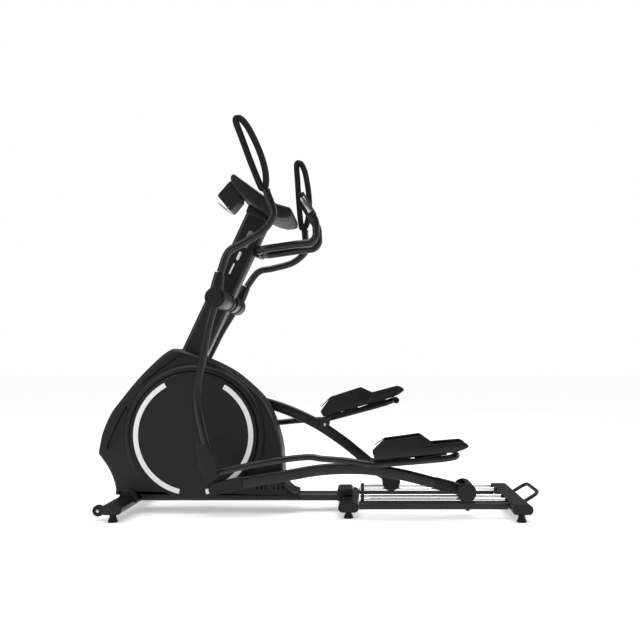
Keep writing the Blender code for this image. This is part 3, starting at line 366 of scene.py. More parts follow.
def grow(name, points, tree, sizes, finish, body):
    """Run a tree on a cloud of points and keep the plain mesh that it makes."""
    seed_mesh = bpy.data.meshes.new(name + "_points")
    seed_mesh.from_pydata([tuple(p) for p in points], [], [])
    holder = bpy.data.objects.new(name + "_points", seed_mesh)
    scene.collection.objects.link(holder)
    rule = holder.modifiers.new("rule", "NODES")
    rule.node_group = tree
    for item in tree.interface.items_tree:
        if item.in_out == "INPUT" and item.name in sizes:
            rule[item.identifier] = sizes[item.name]
        if item.in_out == "INPUT" and item.name == "Finish":
            rule[item.identifier] = finish
    bpy.context.view_layer.update()
    graph = bpy.context.evaluated_depsgraph_get()
    mesh = bpy.data.meshes.new_from_object(holder.evaluated_get(graph))
    holder.modifiers.remove(rule)
    bpy.data.objects.remove(holder)
    mesh.name = name
    if not mesh.materials:
        mesh.materials.append(finish)
    mesh.shade_smooth()
    mesh.set_sharp_from_angle(angle=math.radians(32.0))
    thing = bpy.data.objects.new(name, mesh)
    scene.collection.objects.link(thing)
    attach(thing, body)
    return thing


rib_tree, rib_in, rib_out = rule_tree("skirt_ribs", (
    ("Rib Size", "NodeSocketVector", (0.002, 0.0016, 0.008)), ("Finish", "NodeSocketMaterial", None)))
rib_cube = rib_tree.nodes.new("GeometryNodeMeshCube")
rib_spread = rib_tree.nodes.new("GeometryNodeInstanceOnPoints")
wire(rib_tree, (rib_in, "Rib Size", rib_cube, "Size"), (rib_in, "Geometry", rib_spread, "Points"),
     (rib_cube, "Mesh", rib_spread, "Instance"))
end_tree(rib_tree, rib_in, rib_out, rib_spread)

FOOT_RADIUS = 0.0205
FOOT_NECK = 0.0135
RIB_COUNT = 18
RIB_SIZE = (0.0018, 0.0018, 0.006)
RIB_MIDDLE = 0.0115
for place in ("front", "rear", "mid"):
    for side_name, side in SIDES:
        node_name = "foot_" + place + "_" + side_name
        low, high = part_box(node_name)
        x = (low.x + high.x) / 2.0
        y = (low.y + high.y) / 2.0
        top = high.z
        profile = [(0.0, FOOT_RADIUS - 0.0012), (0.0012, FOOT_RADIUS - 0.0002),
                   (0.0060, FOOT_RADIUS - 0.0002), (0.0072, FOOT_RADIUS - 0.0010),
                   (0.0085, FOOT_RADIUS - 0.0028), (top * 0.60, FOOT_NECK + 0.0012), (top * 0.66, FOOT_NECK),
                   (top * 0.82, FOOT_NECK), (top * 0.82, 0.0075), (top * 0.90, 0.0075), (top * 0.90, 0.0110),
                   (top, 0.0110)]
        shape = loft([[Vector((x + u, y + v, z)) for u, v in circle(r, 40)] for z, r in profile])
        build(node_name + "_pad", shape, sole_rubber, node_name, stands_for=[node_name])
        points = [(x + u, y + v, RIB_MIDDLE) for u, v in circle(FOOT_NECK + 0.0022, RIB_COUNT)]
        grow(node_name + "_ribs", points, rib_tree, {"Rib Size": RIB_SIZE}, sole_rubber, node_name)

# ---- beams and guide rods -------------------------------------------------------------------
# Box tubes carry the rails; four hard-chromed rods stand on them for the rollers to run on.
# Dark collars hold each rod in the middle bar, and a rubber stud sits under each beam.


def dress(finish, slot_name, *nodes):
    """Give carried-over frame pieces their finish; the slot name is not used."""
    for name in nodes:
        thing = frame["nodes"][name]
        thing.data.materials.clear()
        thing.data.materials.append(finish)


chrome = powder_coat("hard_chrome", (0.80, 0.81, 0.82), (0.88, 0.885, 0.89), 0.10, 300.0, 0.00005, 1.0)
bright_steel = powder_coat("bright_steel", (0.50, 0.50, 0.51), (0.62, 0.62, 0.63), 0.28, 600.0, 0.0001, 1.0)
dress(satin_black, "black_paint", "main_frame", "side_beam_left", "side_beam_right")
ROD_RADIUS = 0.008
for side_name, side in SIDES:
    for place in ("inner", "outer"):
        node_name = "guide_rod_" + place + "_" + side_name
        low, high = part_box(node_name)
        y = (low.y + high.y) / 2.0
        z = (low.z + high.z) / 2.0
        profile = [(low.x, ROD_RADIUS - 0.001), (low.x + 0.001, ROD_RADIUS), (high.x, ROD_RADIUS)]
        rings = [[Vector((x, y + u, z + v)) for u, v in circle(r, 36)] for x, r in profile]
        build(node_name + "_bar", loft(rings), chrome, stands_for=[node_name])
        for x, long, label in ((low.x + 0.004, 0.014, "front"), (high.x - 0.012, 0.0115, "rear")):
            ferrule = [(x, ROD_RADIUS + 0.0002), (x, 0.0118), (x + 0.001, 0.0126), (x + long - 0.001, 0.0126),
                       (x + long, 0.0118), (x + long, ROD_RADIUS + 0.0002)]
            rings = [[Vector((px, y + r * math.cos(a), z + r * math.sin(a))) for px, r in ferrule]
                     for a in (2.0 * math.pi * i / 36 for i in range(36))]
            build(node_name + "_collar_" + label, loft(rings, closed=True), moulded_black)
    low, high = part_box("side_beam_" + side_name)
    stud_y = (low.y + high.y) / 2.0
    stud_x = 0.635
    dome = [(low.z + 0.001, 0.0105), (low.z - 0.0015, 0.0105), (low.z - 0.0045, 0.0092),
            (low.z - 0.0072, 0.006), (low.z - 0.0085, 0.002)]
    rings = [[Vector((stud_x + u, stud_y + v, z)) for u, v in circle(r, 28)] for z, r in dome]
    build("beam_stud_" + side_name, loft(rings), sole_rubber)

# ---- lifting handle and transport wheels ----------------------------------------------------
# A looped tube welded to the rear bar lifts the back end, and the machine then rolls on two
# moulded wheels that turn on pins ahead of the front bar.


def bent(points, radius, steps=9):
    """Straight runs joined by round bends, as a tube bender makes them."""
    pts = [Vector(p) for p in points]
    out = [pts[0]]
    for a, b, c in zip(pts, pts[1:], pts[2:]):
        u = (a - b).normalized()
        w = (c - b).normalized()
        half = u.angle(w) / 2.0
        reach = min(radius / math.tan(half), 0.49 * (a - b).length, 0.49 * (c - b).length)
        centre = b + (u + w).normalized() * (reach * math.tan(half) / math.sin(half))
        start = b + u * reach - centre
        stop = b + w * reach - centre
        axis = start.cross(stop).normalized()
        for i in range(steps + 1):
            out.append(centre + Matrix.Rotation(start.angle(stop) * i / steps, 3, axis) @ start)
    out.append(pts[-1])
    return out


def rings_along(path, section, side=(0.0, 1.0, 0.0), closed=False):
    """The section carried along a path; side is its first axis at the start."""
    rings = []
    side = Vector(side)
    count = len(path)
    for i, here in enumerate(path):
        if closed:
            ahead = path[(i + 1) % count] - path[i - 1]
        else:
            ahead = path[min(i + 1, count - 1)] - path[max(i - 1, 0)]
        ahead.normalize()
        side = (side - ahead * side.dot(ahead)).normalized()
        up = side.cross(ahead)
        rings.append([here + side * u + up * v for u, v in section])
    return rings


def tube(path, section, side=(0.0, 1.0, 0.0), closed=False):
    return loft(rings_along(path, section, side, closed), closed)


def turned_ring(cx, cz, profile, count=64):
    """Ring of revolution about a Y axis; profile is a closed list of (y, radius)."""
    step = 2.0 * math.pi / count
    return loft([[Vector((cx + r * math.cos(i * step), y, cz + r * math.sin(i * step))) for y, r in profile]
                 for i in range(count)], closed=True)


low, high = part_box("transport_handle")
LIFT_TUBE = 0.0085
LIFT_BEND = 0.035
lift_out = high.x - LIFT_TUBE
lift_y = 0.130
lift_top = high.z - LIFT_TUBE + 0.0003
points = [(low.x, -lift_y, 0.060), (lift_out, -lift_y, lift_top), (lift_out, lift_y, lift_top),
          (low.x, lift_y, 0.060)]
build("lifting_handle", tube(bent(points, LIFT_BEND, 12), circle(LIFT_TUBE * 0.985, 32)), satin_black,
      stands_for=["transport_handle"])
for side_name, side in SIDES:
    node_name = "transport_wheel_" + side_name
    flank = [(0.008, WHEEL_RADIUS), (WHEEL_HALF - 0.0005, 0.019), (WHEEL_HALF - 0.003, 0.018),
             (WHEEL_HALF - 0.003, 0.011), (WHEEL_HALF, 0.010), (WHEEL_HALF, 0.0045)]
    profile = outwards(side, WHEEL_Y, [(-out, radius) for out, radius in reversed(flank)] + flank)
    build(node_name + "_tyre", turned_ring(wheel_x, wheel_z, profile, 48), sole_rubber, node_name,
          stands_for=[node_name])
    head = outwards(side, WHEEL_Y + WHEEL_HALF, [(0.001, 0.0062), (0.003, 0.0062), (0.004, 0.0045)])
    build("wheel_pin_head_" + side_name, turned(wheel_x, wheel_z, head, 24), bright_steel)

# ---- drive inside the casing ----------------------------------------------------------------
# The crank axle turns in the post of the main frame and drives the flywheel through one belt.
# A magnet bracket swings over the flywheel rim to set the load.
pulley_plastic = powder_coat("pulley_plastic", (0.020, 0.020, 0.021), (0.032, 0.032, 0.034), 0.50, 500.0,
                             0.0003)
belt_rubber = powder_coat("belt_rubber", (0.008, 0.008, 0.008), (0.013, 0.013, 0.013), 0.70, 800.0, 0.0003)
cast_iron = powder_coat("cast_iron", (0.16, 0.16, 0.165), (0.24, 0.24, 0.245), 0.45, 260.0, 0.0006, 1.0)
dress(bright_steel, "machined_steel", "crank_axle", "brake_bracket")
dress(satin_black, "black_paint", "crank_arm_left", "crank_arm_right")
dress(pulley_plastic, "pulley_plastic", "crank_pulley")
dress(cast_iron, "cast_iron", "flywheel")
dress(belt_rubber, "belt_rubber", "drive_belt")

# ---- crank discs ----------------------------------------------------------------------------
# A large moulded disc hides each crank arm; four screws hold it and a pale ring is printed on it.
# The crank pin comes out through it near the rim.
spots = {joint["name"]: Vector(joint["pos_m"]) for joint in frame["joints"] if "pos_m" in joint}
crank = spots["crank_spin"]
CRANK_RADIUS = 0.246
DISC_INNER = 0.0935
DISC_OUTER = 0.1065
DISC_RADIUS = 0.2735
PIN_RADIUS = 0.010
ARM_CHORD = 1.061
PRINT_RADIUS = 0.248
PRINT_HALF = 0.0105
SCREW_CIRCLE = 0.192
SCREW_ANGLES = (27.0, 119.0, 209.0, 299.0)
PRINT_ARCS = ((-77.5, 58.0), (119.0, 256.0))
disc_plastic = powder_coat("disc_plastic", (0.0060, 0.0061, 0.0064), (0.0080, 0.0081, 0.0084),
                            0.48, 1700.0, 0.0004)

pale_print = bpy.data.materials.new("pale_ring_print")
pale_print.use_nodes = True
print_tree = pale_print.node_tree
print_shader = print_tree.nodes["Principled BSDF"]
print_shader.inputs["Roughness"].default_value = 0.45
print_where = print_tree.nodes.new("ShaderNodeTexCoord")
print_lines = print_tree.nodes.new("ShaderNodeTexWave")
print_lines.inputs["Scale"].default_value = 180.0
print_lines.inputs["Distortion"].default_value = 0.4
print_shade = print_tree.nodes.new("ShaderNodeValToRGB")
print_shade.color_ramp.elements[0].color = (0.66, 0.66, 0.66, 1.0)
print_shade.color_ramp.elements[1].color = (0.90, 0.90, 0.90, 1.0)
print_tree.links.new(print_where.outputs["Object"], print_lines.inputs["Vector"])
print_tree.links.new(print_lines.outputs["Fac"], print_shade.inputs["Fac"])
print_tree.links.new(print_shade.outputs["Color"], print_shader.inputs["Base Color"])

KEY_SHARE = 0.52       # socket width as a share of the head
KEY_LIFT = 0.45        # socket floor as a share of the head height
screw_tree, screw_in, screw_out = rule_tree("screw_heads", (
    ("Head Radius", "NodeSocketFloat", 0.004), ("Head Height", "NodeSocketFloat", 0.0012),
    ("Direction", "NodeSocketVector", (0.0, -1.0, 0.0)), ("Finish", "NodeSocketMaterial", None)))
head_body = screw_tree.nodes.new("GeometryNodeMeshCylinder")
head_body.inputs["Vertices"].default_value = 24
head_key = screw_tree.nodes.new("GeometryNodeMeshCylinder")
head_key.inputs["Vertices"].default_value = 6
head_cut = screw_tree.nodes.new("GeometryNodeMeshBoolean")
head_cut.operation = "DIFFERENCE"
head_half = screw_tree.nodes.new("ShaderNodeMath")
head_half.operation = "MULTIPLY"
head_half.inputs[1].default_value = KEY_SHARE
head_turn = screw_tree.nodes.new("FunctionNodeAlignRotationToVector")
head_turn.axis = "Z"
head_spread = screw_tree.nodes.new("GeometryNodeInstanceOnPoints")
key_lift = screw_tree.nodes.new("GeometryNodeTransform")
key_up = screw_tree.nodes.new("ShaderNodeCombineXYZ")
key_scale = screw_tree.nodes.new("ShaderNodeVectorMath")
key_scale.operation = "SCALE"
key_scale.inputs["Scale"].default_value = KEY_LIFT
wire(screw_tree, (screw_in, "Head Radius", head_body, "Radius"),
     (screw_in, "Head Height", head_body, "Depth"), (screw_in, "Head Radius", head_half, 0),
     (head_half, "Value", head_key, "Radius"), (screw_in, "Head Height", head_key, "Depth"),
     (screw_in, "Head Height", key_up, "Z"), (head_key, "Mesh", key_lift, "Geometry"),
     (key_up, "Vector", key_scale, 0), (key_scale, "Vector", key_lift, "Translation"),
     (head_body, "Mesh", head_cut, "Mesh 1"), (key_lift, "Geometry", head_cut, "Mesh 2"),
     (screw_in, "Direction", head_turn, "Vector"), (screw_in, "Geometry", head_spread, "Points"),
     (head_cut, "Mesh", head_spread, "Instance"), (head_turn, "Rotation", head_spread, "Rotation"))
end_tree(screw_tree, screw_in, screw_out, head_spread)


def screws(name, points, side, radius, body, finish=bright_steel, height=0.0014):
    """Screw heads standing on a side face, their sockets turned outwards."""
    return grow(name, points, screw_tree, {"Head Radius": radius, "Head Height": height,
                                           "Direction": (0.0, side, 0.0)}, finish, body)


def meet(a, reach_a, b, reach_b, turn):
    """Where two links of known length from two X-Z pivots meet."""
    span = b - a
    reach = (reach_a ** 2 - reach_b ** 2 + span.length ** 2) / (2.0 * span.length)
    height = math.sqrt(max(reach_a ** 2 - reach ** 2, 0.0))
    unit = span.normalized()
    return a + unit * reach + Vector((unit.y, -unit.x)) * height * turn


def flat(point):
    return Vector((point.x, point.z))


pins = {}
for side_name, side in SIDES:
    pins[side_name] = meet(flat(crank), CRANK_RADIUS, flat(spots[side_name + "_lift"]), ARM_CHORD, -side)
for side_name, side in SIDES:
    pin = pins[side_name]
    high = side * DISC_OUTER
    profile = [(side * DISC_INNER, DISC_RADIUS - 0.004), (side * (DISC_INNER + 0.002), DISC_RADIUS - 0.0005)]
    profile += outwards(side, DISC_OUTER, [(-0.0035, DISC_RADIUS - 0.0003), (-0.0014, DISC_RADIUS - 0.0010),
                                           (-0.0004, DISC_RADIUS - 0.0026), (0.0, DISC_RADIUS - 0.0045),
                                           (0.0, PRINT_RADIUS + 0.018), (-0.0006, PRINT_RADIUS + 0.0172),
                                           (-0.0006, 0.08), (-0.0004, 0.03)])
    build("crank_disc_face_" + side_name, turned(crank.x, crank.z, profile, 160), disc_plastic, "crank",
          stands_for=["crank_disc_" + side_name])
    boss = outwards(side, DISC_OUTER, [(-0.0010, PIN_RADIUS + 0.0010), (-0.0010, 0.0165), (0.0010, 0.0165),
                                       (0.0016, 0.0155), (0.0016, PIN_RADIUS + 0.0010)])
    build("pin_bush_" + side_name, turned_ring(pin.x, pin.y, boss, 40), moulded_black, "crank")
    base = high - side * 0.0008
    top = high - side * 0.0002
    bands = []
    for start, stop in PRINT_ARCS:
        outline = arc(crank.x, crank.z, PRINT_RADIUS + PRINT_HALF, start, stop, 90)
        outline += arc(crank.x, crank.z, PRINT_RADIUS - PRINT_HALF, stop, start, 90)
        bands.append(plate(outline, base, top))
    build("ring_print_" + side_name, merge(*bands), pale_print, "crank")
    screw_spots = [(x, high - side * 0.0002, z) for x, z in (arc(crank.x, crank.z, SCREW_CIRCLE, angle,
                                                                 angle, 1)[0] for angle in SCREW_ANGLES)]
    screws("disc_screws_" + side_name, screw_spots, side, 0.0052, "crank", moulded_black)
    screws("disc_rim_screw_" + side_name, [(crank.x, high + side * 0.0001, crank.z + 0.2665)], side, 0.0028,
           "crank", moulded_black, 0.001)

# ---- casing ---------------------------------------------------------------------------------
# Two injection-moulded shells meet on the centre plane and are screwed to the frame.
# Each has a raised lip round its disc, sloping recesses, vents, a groove and a seam strip.
CASING_HALF = 0.084
CASING_FLOOR = 0.0545
BAR_CLEAR = 0.0765


def curve(points, steps):
    """Smooth curve through the points, with so many pieces between each pair."""
    pts = [Vector(p) for p in points]
    ends = [2.0 * pts[0] - pts[1]] + pts + [2.0 * pts[-1] - pts[-2]]
    out = []
    for i in range(1, len(ends) - 2):
        p0, p1, p2, p3 = ends[i - 1:i + 3]
        for s in range(steps):
            t = s / steps
            out.append(0.5 * (2.0 * p1 + (p2 - p0) * t + (2.0 * p0 - 5.0 * p1 + 4.0 * p2 - p3) * t * t
                              + (3.0 * p1 - p0 - 3.0 * p2 + p3) * t ** 3))
    out.append(pts[-1])
    return out


crown = curve([(-0.954, 0.270, 0), (-0.938, 0.346, 0), (-0.902, 0.429, 0), (-0.8545, 0.494, 0),
               (-0.789, 0.5745, 0), (-0.730, 0.6365, 0), (-0.6585, 0.699, 0), (-0.608, 0.712, 0),
               (-0.492, 0.674, 0), (-0.385, 0.622, 0), (-0.314, 0.568, 0), (-0.255, 0.512, 0),
               (-0.219, 0.464, 0), (-0.184, 0.3815, 0), (-0.160, 0.292, 0), (-0.154, 0.233, 0)], 5)
front_foot = curve([(-0.882, BAR_CLEAR, 0), (-0.881, 0.110, 0), (-0.895, 0.158, 0), (-0.9175, 0.203, 0),
                    (-0.955, 0.256, 0)], 4)
back_foot = curve([(-0.150, 0.170, 0), (-0.1375, 0.126, 0), (-0.113, 0.100, 0), (-0.085, 0.089, 0)], 3)
casing_outline = [(p.x, p.y) for p in front_foot + crown + back_foot]
casing_outline += [(-0.085, CASING_FLOOR), (-0.775, CASING_FLOOR), (-0.775, BAR_CLEAR)]


def inset(outline, amount):
    """Outline moved inwards by an amount, square to its edges."""
    area = sum(a[0] * b[1] - b[0] * a[1] for a, b in zip(outline, outline[1:] + outline[:1]))
    turn = 1.0 if area > 0 else -1.0
    out = []
    for i, here in enumerate(outline):
        here = Vector(here)
        before = (here - Vector(outline[i - 1])).normalized()
        after = (Vector(outline[(i + 1) % len(outline)]) - here).normalized()
        n1 = Vector((-before.y, before.x)) * turn
        mean = (n1 + Vector((-after.y, after.x)) * turn).normalized()
        out.append(tuple(here + mean * amount / max(0.5, mean.dot(n1))))
    return out


SHOULDER = ((0.0003, 0.0), (0.058, 0.0), (0.068, 0.0010), (0.0755, 0.0038), (0.0805, 0.0078),
            (0.0830, 0.0125), (CASING_HALF, 0.0180))
WALL = 0.0028
SIDE_WALL = 0.0110
RECESS_DEPTH = 0.0075
LIP_RISE = 0.0155
LIP_FADE_IN = 38.0
LIP_FADE_OUT = 60.0
grille_dark = powder_coat("recess_black", (0.006, 0.006, 0.006), (0.009, 0.009, 0.009), 0.6, 900.0, 0.0003,
                          0.0, 0.2)
toe_recess = [(-0.5875, 0.6917), (-0.634, 0.661), (-0.7325, 0.5865), (-0.7640, 0.5620), (-0.7060, 0.6000),
              (-0.6400, 0.6290), (-0.5640, 0.6440), (-0.5160, 0.6480), (-0.5160, 0.6690), (-0.5560, 0.6830)]
nose_recess = [(-0.8286, 0.4600), (-0.8500, 0.4260), (-0.8780, 0.3700), (-0.9050, 0.3050), (-0.9120, 0.2820),
               (-0.8960, 0.2900), (-0.8640, 0.3300), (-0.8460, 0.3700), (-0.8370, 0.4100), (-0.8210, 0.4530)]
plug_recess = [(-0.4830, 0.6600), (-0.4350, 0.6370), (-0.4300, 0.6180), (-0.4840, 0.6330)]
VENT_XS = (-0.263, -0.244, -0.226, -0.190, -0.171, -0.153)


def sink(outline, side, depth, spread):
    """A tapered plug to cut a recess with sloping walls in a side face."""
    face = side * (CASING_HALF + 0.0005)
    deep = side * (CASING_HALF - depth)
    wide = inset(outline, -spread)
    return loft([[Vector((x, deep, z)) for x, z in outline], [Vector((x, face, z)) for x, z in wide]])


def layered(outline, side, layers):
    """Rings of an X-Z outline, drawn in by an amount at each distance beside the middle plane."""
    return [[Vector((x, side * y, z)) for x, z in inset(outline, amount)] for y, amount in layers]


def carve(thing, cutters):
    """Cut a set of closed shapes out of a piece and keep the plain mesh."""
    for cutter in cutters:
        bmesh.ops.recalc_face_normals(cutter, faces=cutter.faces)
        tool_mesh = bpy.data.meshes.new("cutter")
        cutter.to_mesh(tool_mesh)
        cutter.free()
        tool = bpy.data.objects.new("cutter", tool_mesh)
        scene.collection.objects.link(tool)
        change = thing.modifiers.new("carve", "BOOLEAN")
        change.operation = "DIFFERENCE"
        change.solver = "EXACT"
        change.object = tool
        bpy.context.view_layer.update()
        graph = bpy.context.evaluated_depsgraph_get()
        fresh = bpy.data.meshes.new_from_object(thing.evaluated_get(graph))
        thing.modifiers.remove(change)
        thing.data = fresh
        bpy.data.objects.remove(tool)
        bpy.data.meshes.remove(tool_mesh)
    thing.data.set_sharp_from_angle(angle=math.radians(32.0))


MAST_LEAN = math.radians(25.2)
MAST_DEPTH = 0.109
MAST_WIDTH = 0.076
MAST_TOP = Vector((-0.269, 1.287))
MAST_FOOT_Z = 0.560


def on_mast(z, back=0.0):
    """A point on the mast's middle line at a height, moved to the rear by an amount."""
    x = MAST_TOP.x - (MAST_TOP.y - z) * math.tan(MAST_LEAN)
    return Vector((x + back * math.cos(MAST_LEAN), z - back * math.sin(MAST_LEAN)))


def band(cx, cz, side, start, stop, count):
    """The raised lip over the disc: a rounded rib on an arc that fades out at both ends."""
    rings = []
    for i in range(count + 1):
        angle = start + (stop - start) * i / count
        fade = min(1.0, (angle - start) / LIP_FADE_IN, (stop - angle) / LIP_FADE_OUT)
        rise = LIP_RISE * (0.5 - 0.5 * math.cos(math.pi * max(fade, 0.0)))
        a = math.radians(angle)
        ring = []
        for radius, share in ((0.2778, -0.12), (0.2778, 0.72), (0.2792, 0.90), (0.2825, 1.0), (0.2880, 1.0),
                              (0.2935, 0.93), (0.2990, 0.72), (0.3035, 0.38), (0.3065, 0.0), (0.3065, -0.12)):
            y = CASING_HALF - 0.0012 + (max(rise * share, -0.0012) if share < 0 else rise * share + 0.0006)
            ring.append(Vector((cx + radius * math.cos(a), side * y, cz + radius * math.sin(a))))
        rings.append(ring)
    return loft(rings)


for side_name, side in SIDES:
    rings = layered(casing_outline, side, SHOULDER)
    inside = [(CASING_HALF - SIDE_WALL, 0.0205), (0.068, 0.0075), (0.058, WALL), (0.0003, WALL)]
    back_rings = layered(casing_outline, side, inside)
    shape = bmesh.new()
    rows = [[shape.verts.new(p) for p in ring] for ring in rings + back_rings]
    outer_last = len(rings) - 1
    for i in range(len(rows)):
        if i == outer_last:
            continue
        a, b = rows[i], rows[(i + 1) % len(rows)]
        for j in range(len(a)):
            k = (j + 1) % len(a)
            shape.faces.new((a[j], a[k], b[k], b[j]))
    shape.faces.new(rows[outer_last])
    shape.faces.new(rows[outer_last + 1])
    shell = build("casing_shell_" + side_name, shape, moulded_black,
                  stands_for=["casing_" + side_name])
    cutters = [turned(crank.x, crank.z, [(-0.2, 0.0165), (0.2, 0.0165)], 40)]
    hole = oval(MAST_WIDTH + 0.003, MAST_DEPTH + 0.003, 0.017)
    way = [Vector((on_mast(z).x, 0.0, on_mast(z).y)) for z in (0.560, 0.800)]
    cutters.append(tube(way, hole))
    under = [(-0.95, -0.1), (0.0, -0.1), (0.0, 0.080), (-0.95, 0.080)]
    cutters.append(plate(under, -0.041, 0.041))
    cutters.append(sink(toe_recess, side, RECESS_DEPTH, 0.0030))
    cutters.append(sink(nose_recess, side, RECESS_DEPTH, 0.0030))
    cutters.append(sink(plug_recess, side, 0.0026, 0.0008))
    for x in VENT_XS:
        slot = arc(x, 0.1195, 0.0027, 0, 180, 8) + arc(x, 0.1045, 0.0027, 180, 360, 8)
        cutters.append(plate(slot, side * 0.05, side * 0.09))
    groove = arc(crank.x, crank.z, 0.3122, -24.0, 78.0, 60) + arc(crank.x, crank.z, 0.3098, 78.0, -24.0, 60)
    cutters.append(plate(groove, side * (CASING_HALF - 0.0018), side * 0.09))
    carve(shell, cutters)
    build("casing_lip_" + side_name, band(crank.x, crank.z, side, -42.0, 236.0, 120), moulded_black)
    build("crown_plug_" + side_name, sink(inset(plug_recess, 0.0008), side, 0.0024, 0.0), grille_dark)
    seam = [(-0.3256, 0.0660), (-0.3242, 0.0660), (-0.3242, 0.1350), (-0.3256, 0.1350)]
    build("casing_seam_" + side_name, plate(seam, side * (CASING_HALF - 0.0010),
                                            side * (CASING_HALF + 0.0002)), grille_dark)
    screws("casing_screws_" + side_name, [(x, side * CASING_HALF, z) for x, z in
                                          ((-0.2814, 0.0740), (-0.1120, 0.0720), (-0.7632, 0.0830))],
           side, 0.0045, "frame", grille_dark, 0.0012)

# moulded boots where the front bar comes out of the casing
for side_name, side in SIDES:
    arch = arc(front_x + 0.012, 0.066, 0.0395, 8, 172, 20)
    arch += [(front_x - 0.0475, 0.0500), (front_x + 0.0505, 0.0500)]
    folds = ((0.0815, 0.0), (0.0885, 0.0), (0.0895, 0.0022), (0.0912, 0.0022), (0.0922, 0.0), (0.0955, 0.0),
             (0.0968, 0.0022), (0.0985, 0.0022), (0.0995, 0.0006), (0.1030, 0.0006), (0.1045, 0.0025))
    build("bar_boot_" + side_name, loft(layered(arch, side, folds)), moulded_black)

# ---- mast -----------------------------------------------------------------------------------
# A rounded box tube sleeved over the frame's stub and leaning to the rear.
# The handle axle crosses it in a welded bush; plain pale transfers run up both of its flanks.
mast_foot = on_mast(MAST_FOOT_Z)
mast_section = oval(MAST_WIDTH, MAST_DEPTH, 0.016)
mast_inner = oval(MAST_WIDTH - 0.006, MAST_DEPTH - 0.006, 0.013)
mast_path = [Vector((mast_foot.x, 0.0, mast_foot.y)), Vector((MAST_TOP.x, 0.0, MAST_TOP.y))]
mast_rings = rings_along(mast_path, mast_section) + list(reversed(rings_along(mast_path, mast_inner)))
mast_piece = build("mast_tube", loft(mast_rings, closed=True), satin_black, stands_for=["mast"])
swing_axis = spots["left_swing"]
CROSS_RADIUS = 0.038
carve(mast_piece, [turned(swing_axis.x, swing_axis.z, [(-0.2, CROSS_RADIUS + GAP),
                                                       (0.2, CROSS_RADIUS + GAP)], 48)])

def label_plate(name, along, back, long, wide, corner, finish):
    """Thin transfers on both flanks of the mast, placed by their height on its middle line."""
    for side_name, side in SIDES:
        centre = on_mast(along, back)
        up = Vector((math.sin(MAST_LEAN), math.cos(MAST_LEAN)))
        across = Vector((math.cos(MAST_LEAN), -math.sin(MAST_LEAN)))
        outline = [tuple(centre + across * u + up * v) for u, v in oval(wide, long, corner, 5)]
        face = MAST_WIDTH / 2.0
        build(name + "_" + side_name, plate(outline, side * (face - 0.0004), side * (face + 0.0003)), finish,
              "frame")


grey_transfer = powder_coat("grey_transfer", (0.13, 0.13, 0.13), (0.17, 0.168, 0.165), 0.5, 800.0, 0.0001)
white_transfer = powder_coat("white_transfer", (0.62, 0.62, 0.62), (0.80, 0.80, 0.80), 0.45, 800.0, 0.0001)
label_plate("mast_badge", 1.195, 0.004, 0.078, 0.026, 0.008, grey_transfer)
label_plate("mast_stripe_upper", 1.120, -0.002, 0.040, 0.012, 0.0055, white_transfer)
label_plate("mast_stripe_lower", 1.062, -0.006, 0.052, 0.0065, 0.003, white_transfer)

# ---- handle axle ----------------------------------------------------------------------------
# A thick cross tube through the mast, with a turned spindle at each end for the swinging handle.
# It is welded all round where it meets the mast.
HUB_INNER = 0.180
SPINDLE = 0.014
SWING_Y = 0.270
cross_end = HUB_INNER - 0.0005
spindle_end = SWING_Y + 0.006
axle = [(-spindle_end, SPINDLE - 0.001), (-spindle_end + 0.001, SPINDLE), (-cross_end, SPINDLE),
        (-cross_end, CROSS_RADIUS - 0.002), (-cross_end + 0.002, CROSS_RADIUS),
        (cross_end - 0.002, CROSS_RADIUS), (cross_end, CROSS_RADIUS - 0.002), (cross_end, SPINDLE),
        (spindle_end - 0.001, SPINDLE), (spindle_end, SPINDLE - 0.001)]
build("handle_cross_tube", turned(swing_axis.x, swing_axis.z, axle, 72), satin_black,
      stands_for=["handle_axle"])
for side_name, side in SIDES:
    bead = outwards(side, MAST_WIDTH / 2.0, [(0.0002, CROSS_RADIUS + 0.0004), (0.0002, CROSS_RADIUS + 0.0055),
                                             (0.0022, CROSS_RADIUS + 0.0045), (0.0042, CROSS_RADIUS + 0.0022),
                                             (0.0050, CROSS_RADIUS + 0.0004)])
    build("axle_weld_" + side_name, turned_ring(swing_axis.x, swing_axis.z, bead, 72), satin_black)

# ---- console --------------------------------------------------------------------------------
# A moulded housing on the mast's head, tilted to the rider, with a glossy panel and two soft keys.
# A tray lip closes its lower edge, and a box on a thin steel bracket stands behind its top edge.
CONSOLE_HALF = 0.160
console_line = [(-0.350, 1.453), (-0.181, 1.331), (-0.140, 1.319), (-0.116, 1.312), (-0.108, 1.303),
                (-0.106, 1.290), (-0.107, 1.276), (-0.114, 1.270), (-0.124, 1.268), (-0.152, 1.266),
                (-0.190, 1.2745), (-0.2265, 1.292), (-0.268, 1.3195), (-0.308, 1.351), (-0.342, 1.3875),
                (-0.364, 1.420), (-0.3665, 1.436), (-0.364, 1.446), (-0.358, 1.452)]
console_edge = ((1.0, 0.010), (0.996, 0.006), (0.985, 0.0025), (0.965, 0.0004), (0.94, 0.0))
console_layers = [(-CONSOLE_HALF * share, amount) for share, amount in console_edge]
console_layers += [(CONSOLE_HALF * share, amount) for share, amount in reversed(console_edge)]
housing = build("console_housing", loft(layered(console_line, 1.0, console_layers)), moulded_black,
                stands_for=["console_shell"])
panel_top = Vector((-0.350, 1.453))
panel_low = Vector((-0.181, 1.331))
panel_way = (panel_low - panel_top).normalized()
panel_out = Vector((-panel_way.y, panel_way.x))
panel_length = (panel_low - panel_top).length


def on_panel(along, out):
    return panel_top + panel_way * along + panel_out * out


def on_panel_outline(points, margin):
    """Plate whose outline is given along and out from the panel's top edge."""
    outline = [tuple(on_panel(along, out)) for along, out in points]
    return plate(outline, -CONSOLE_HALF + margin, CONSOLE_HALF - margin)


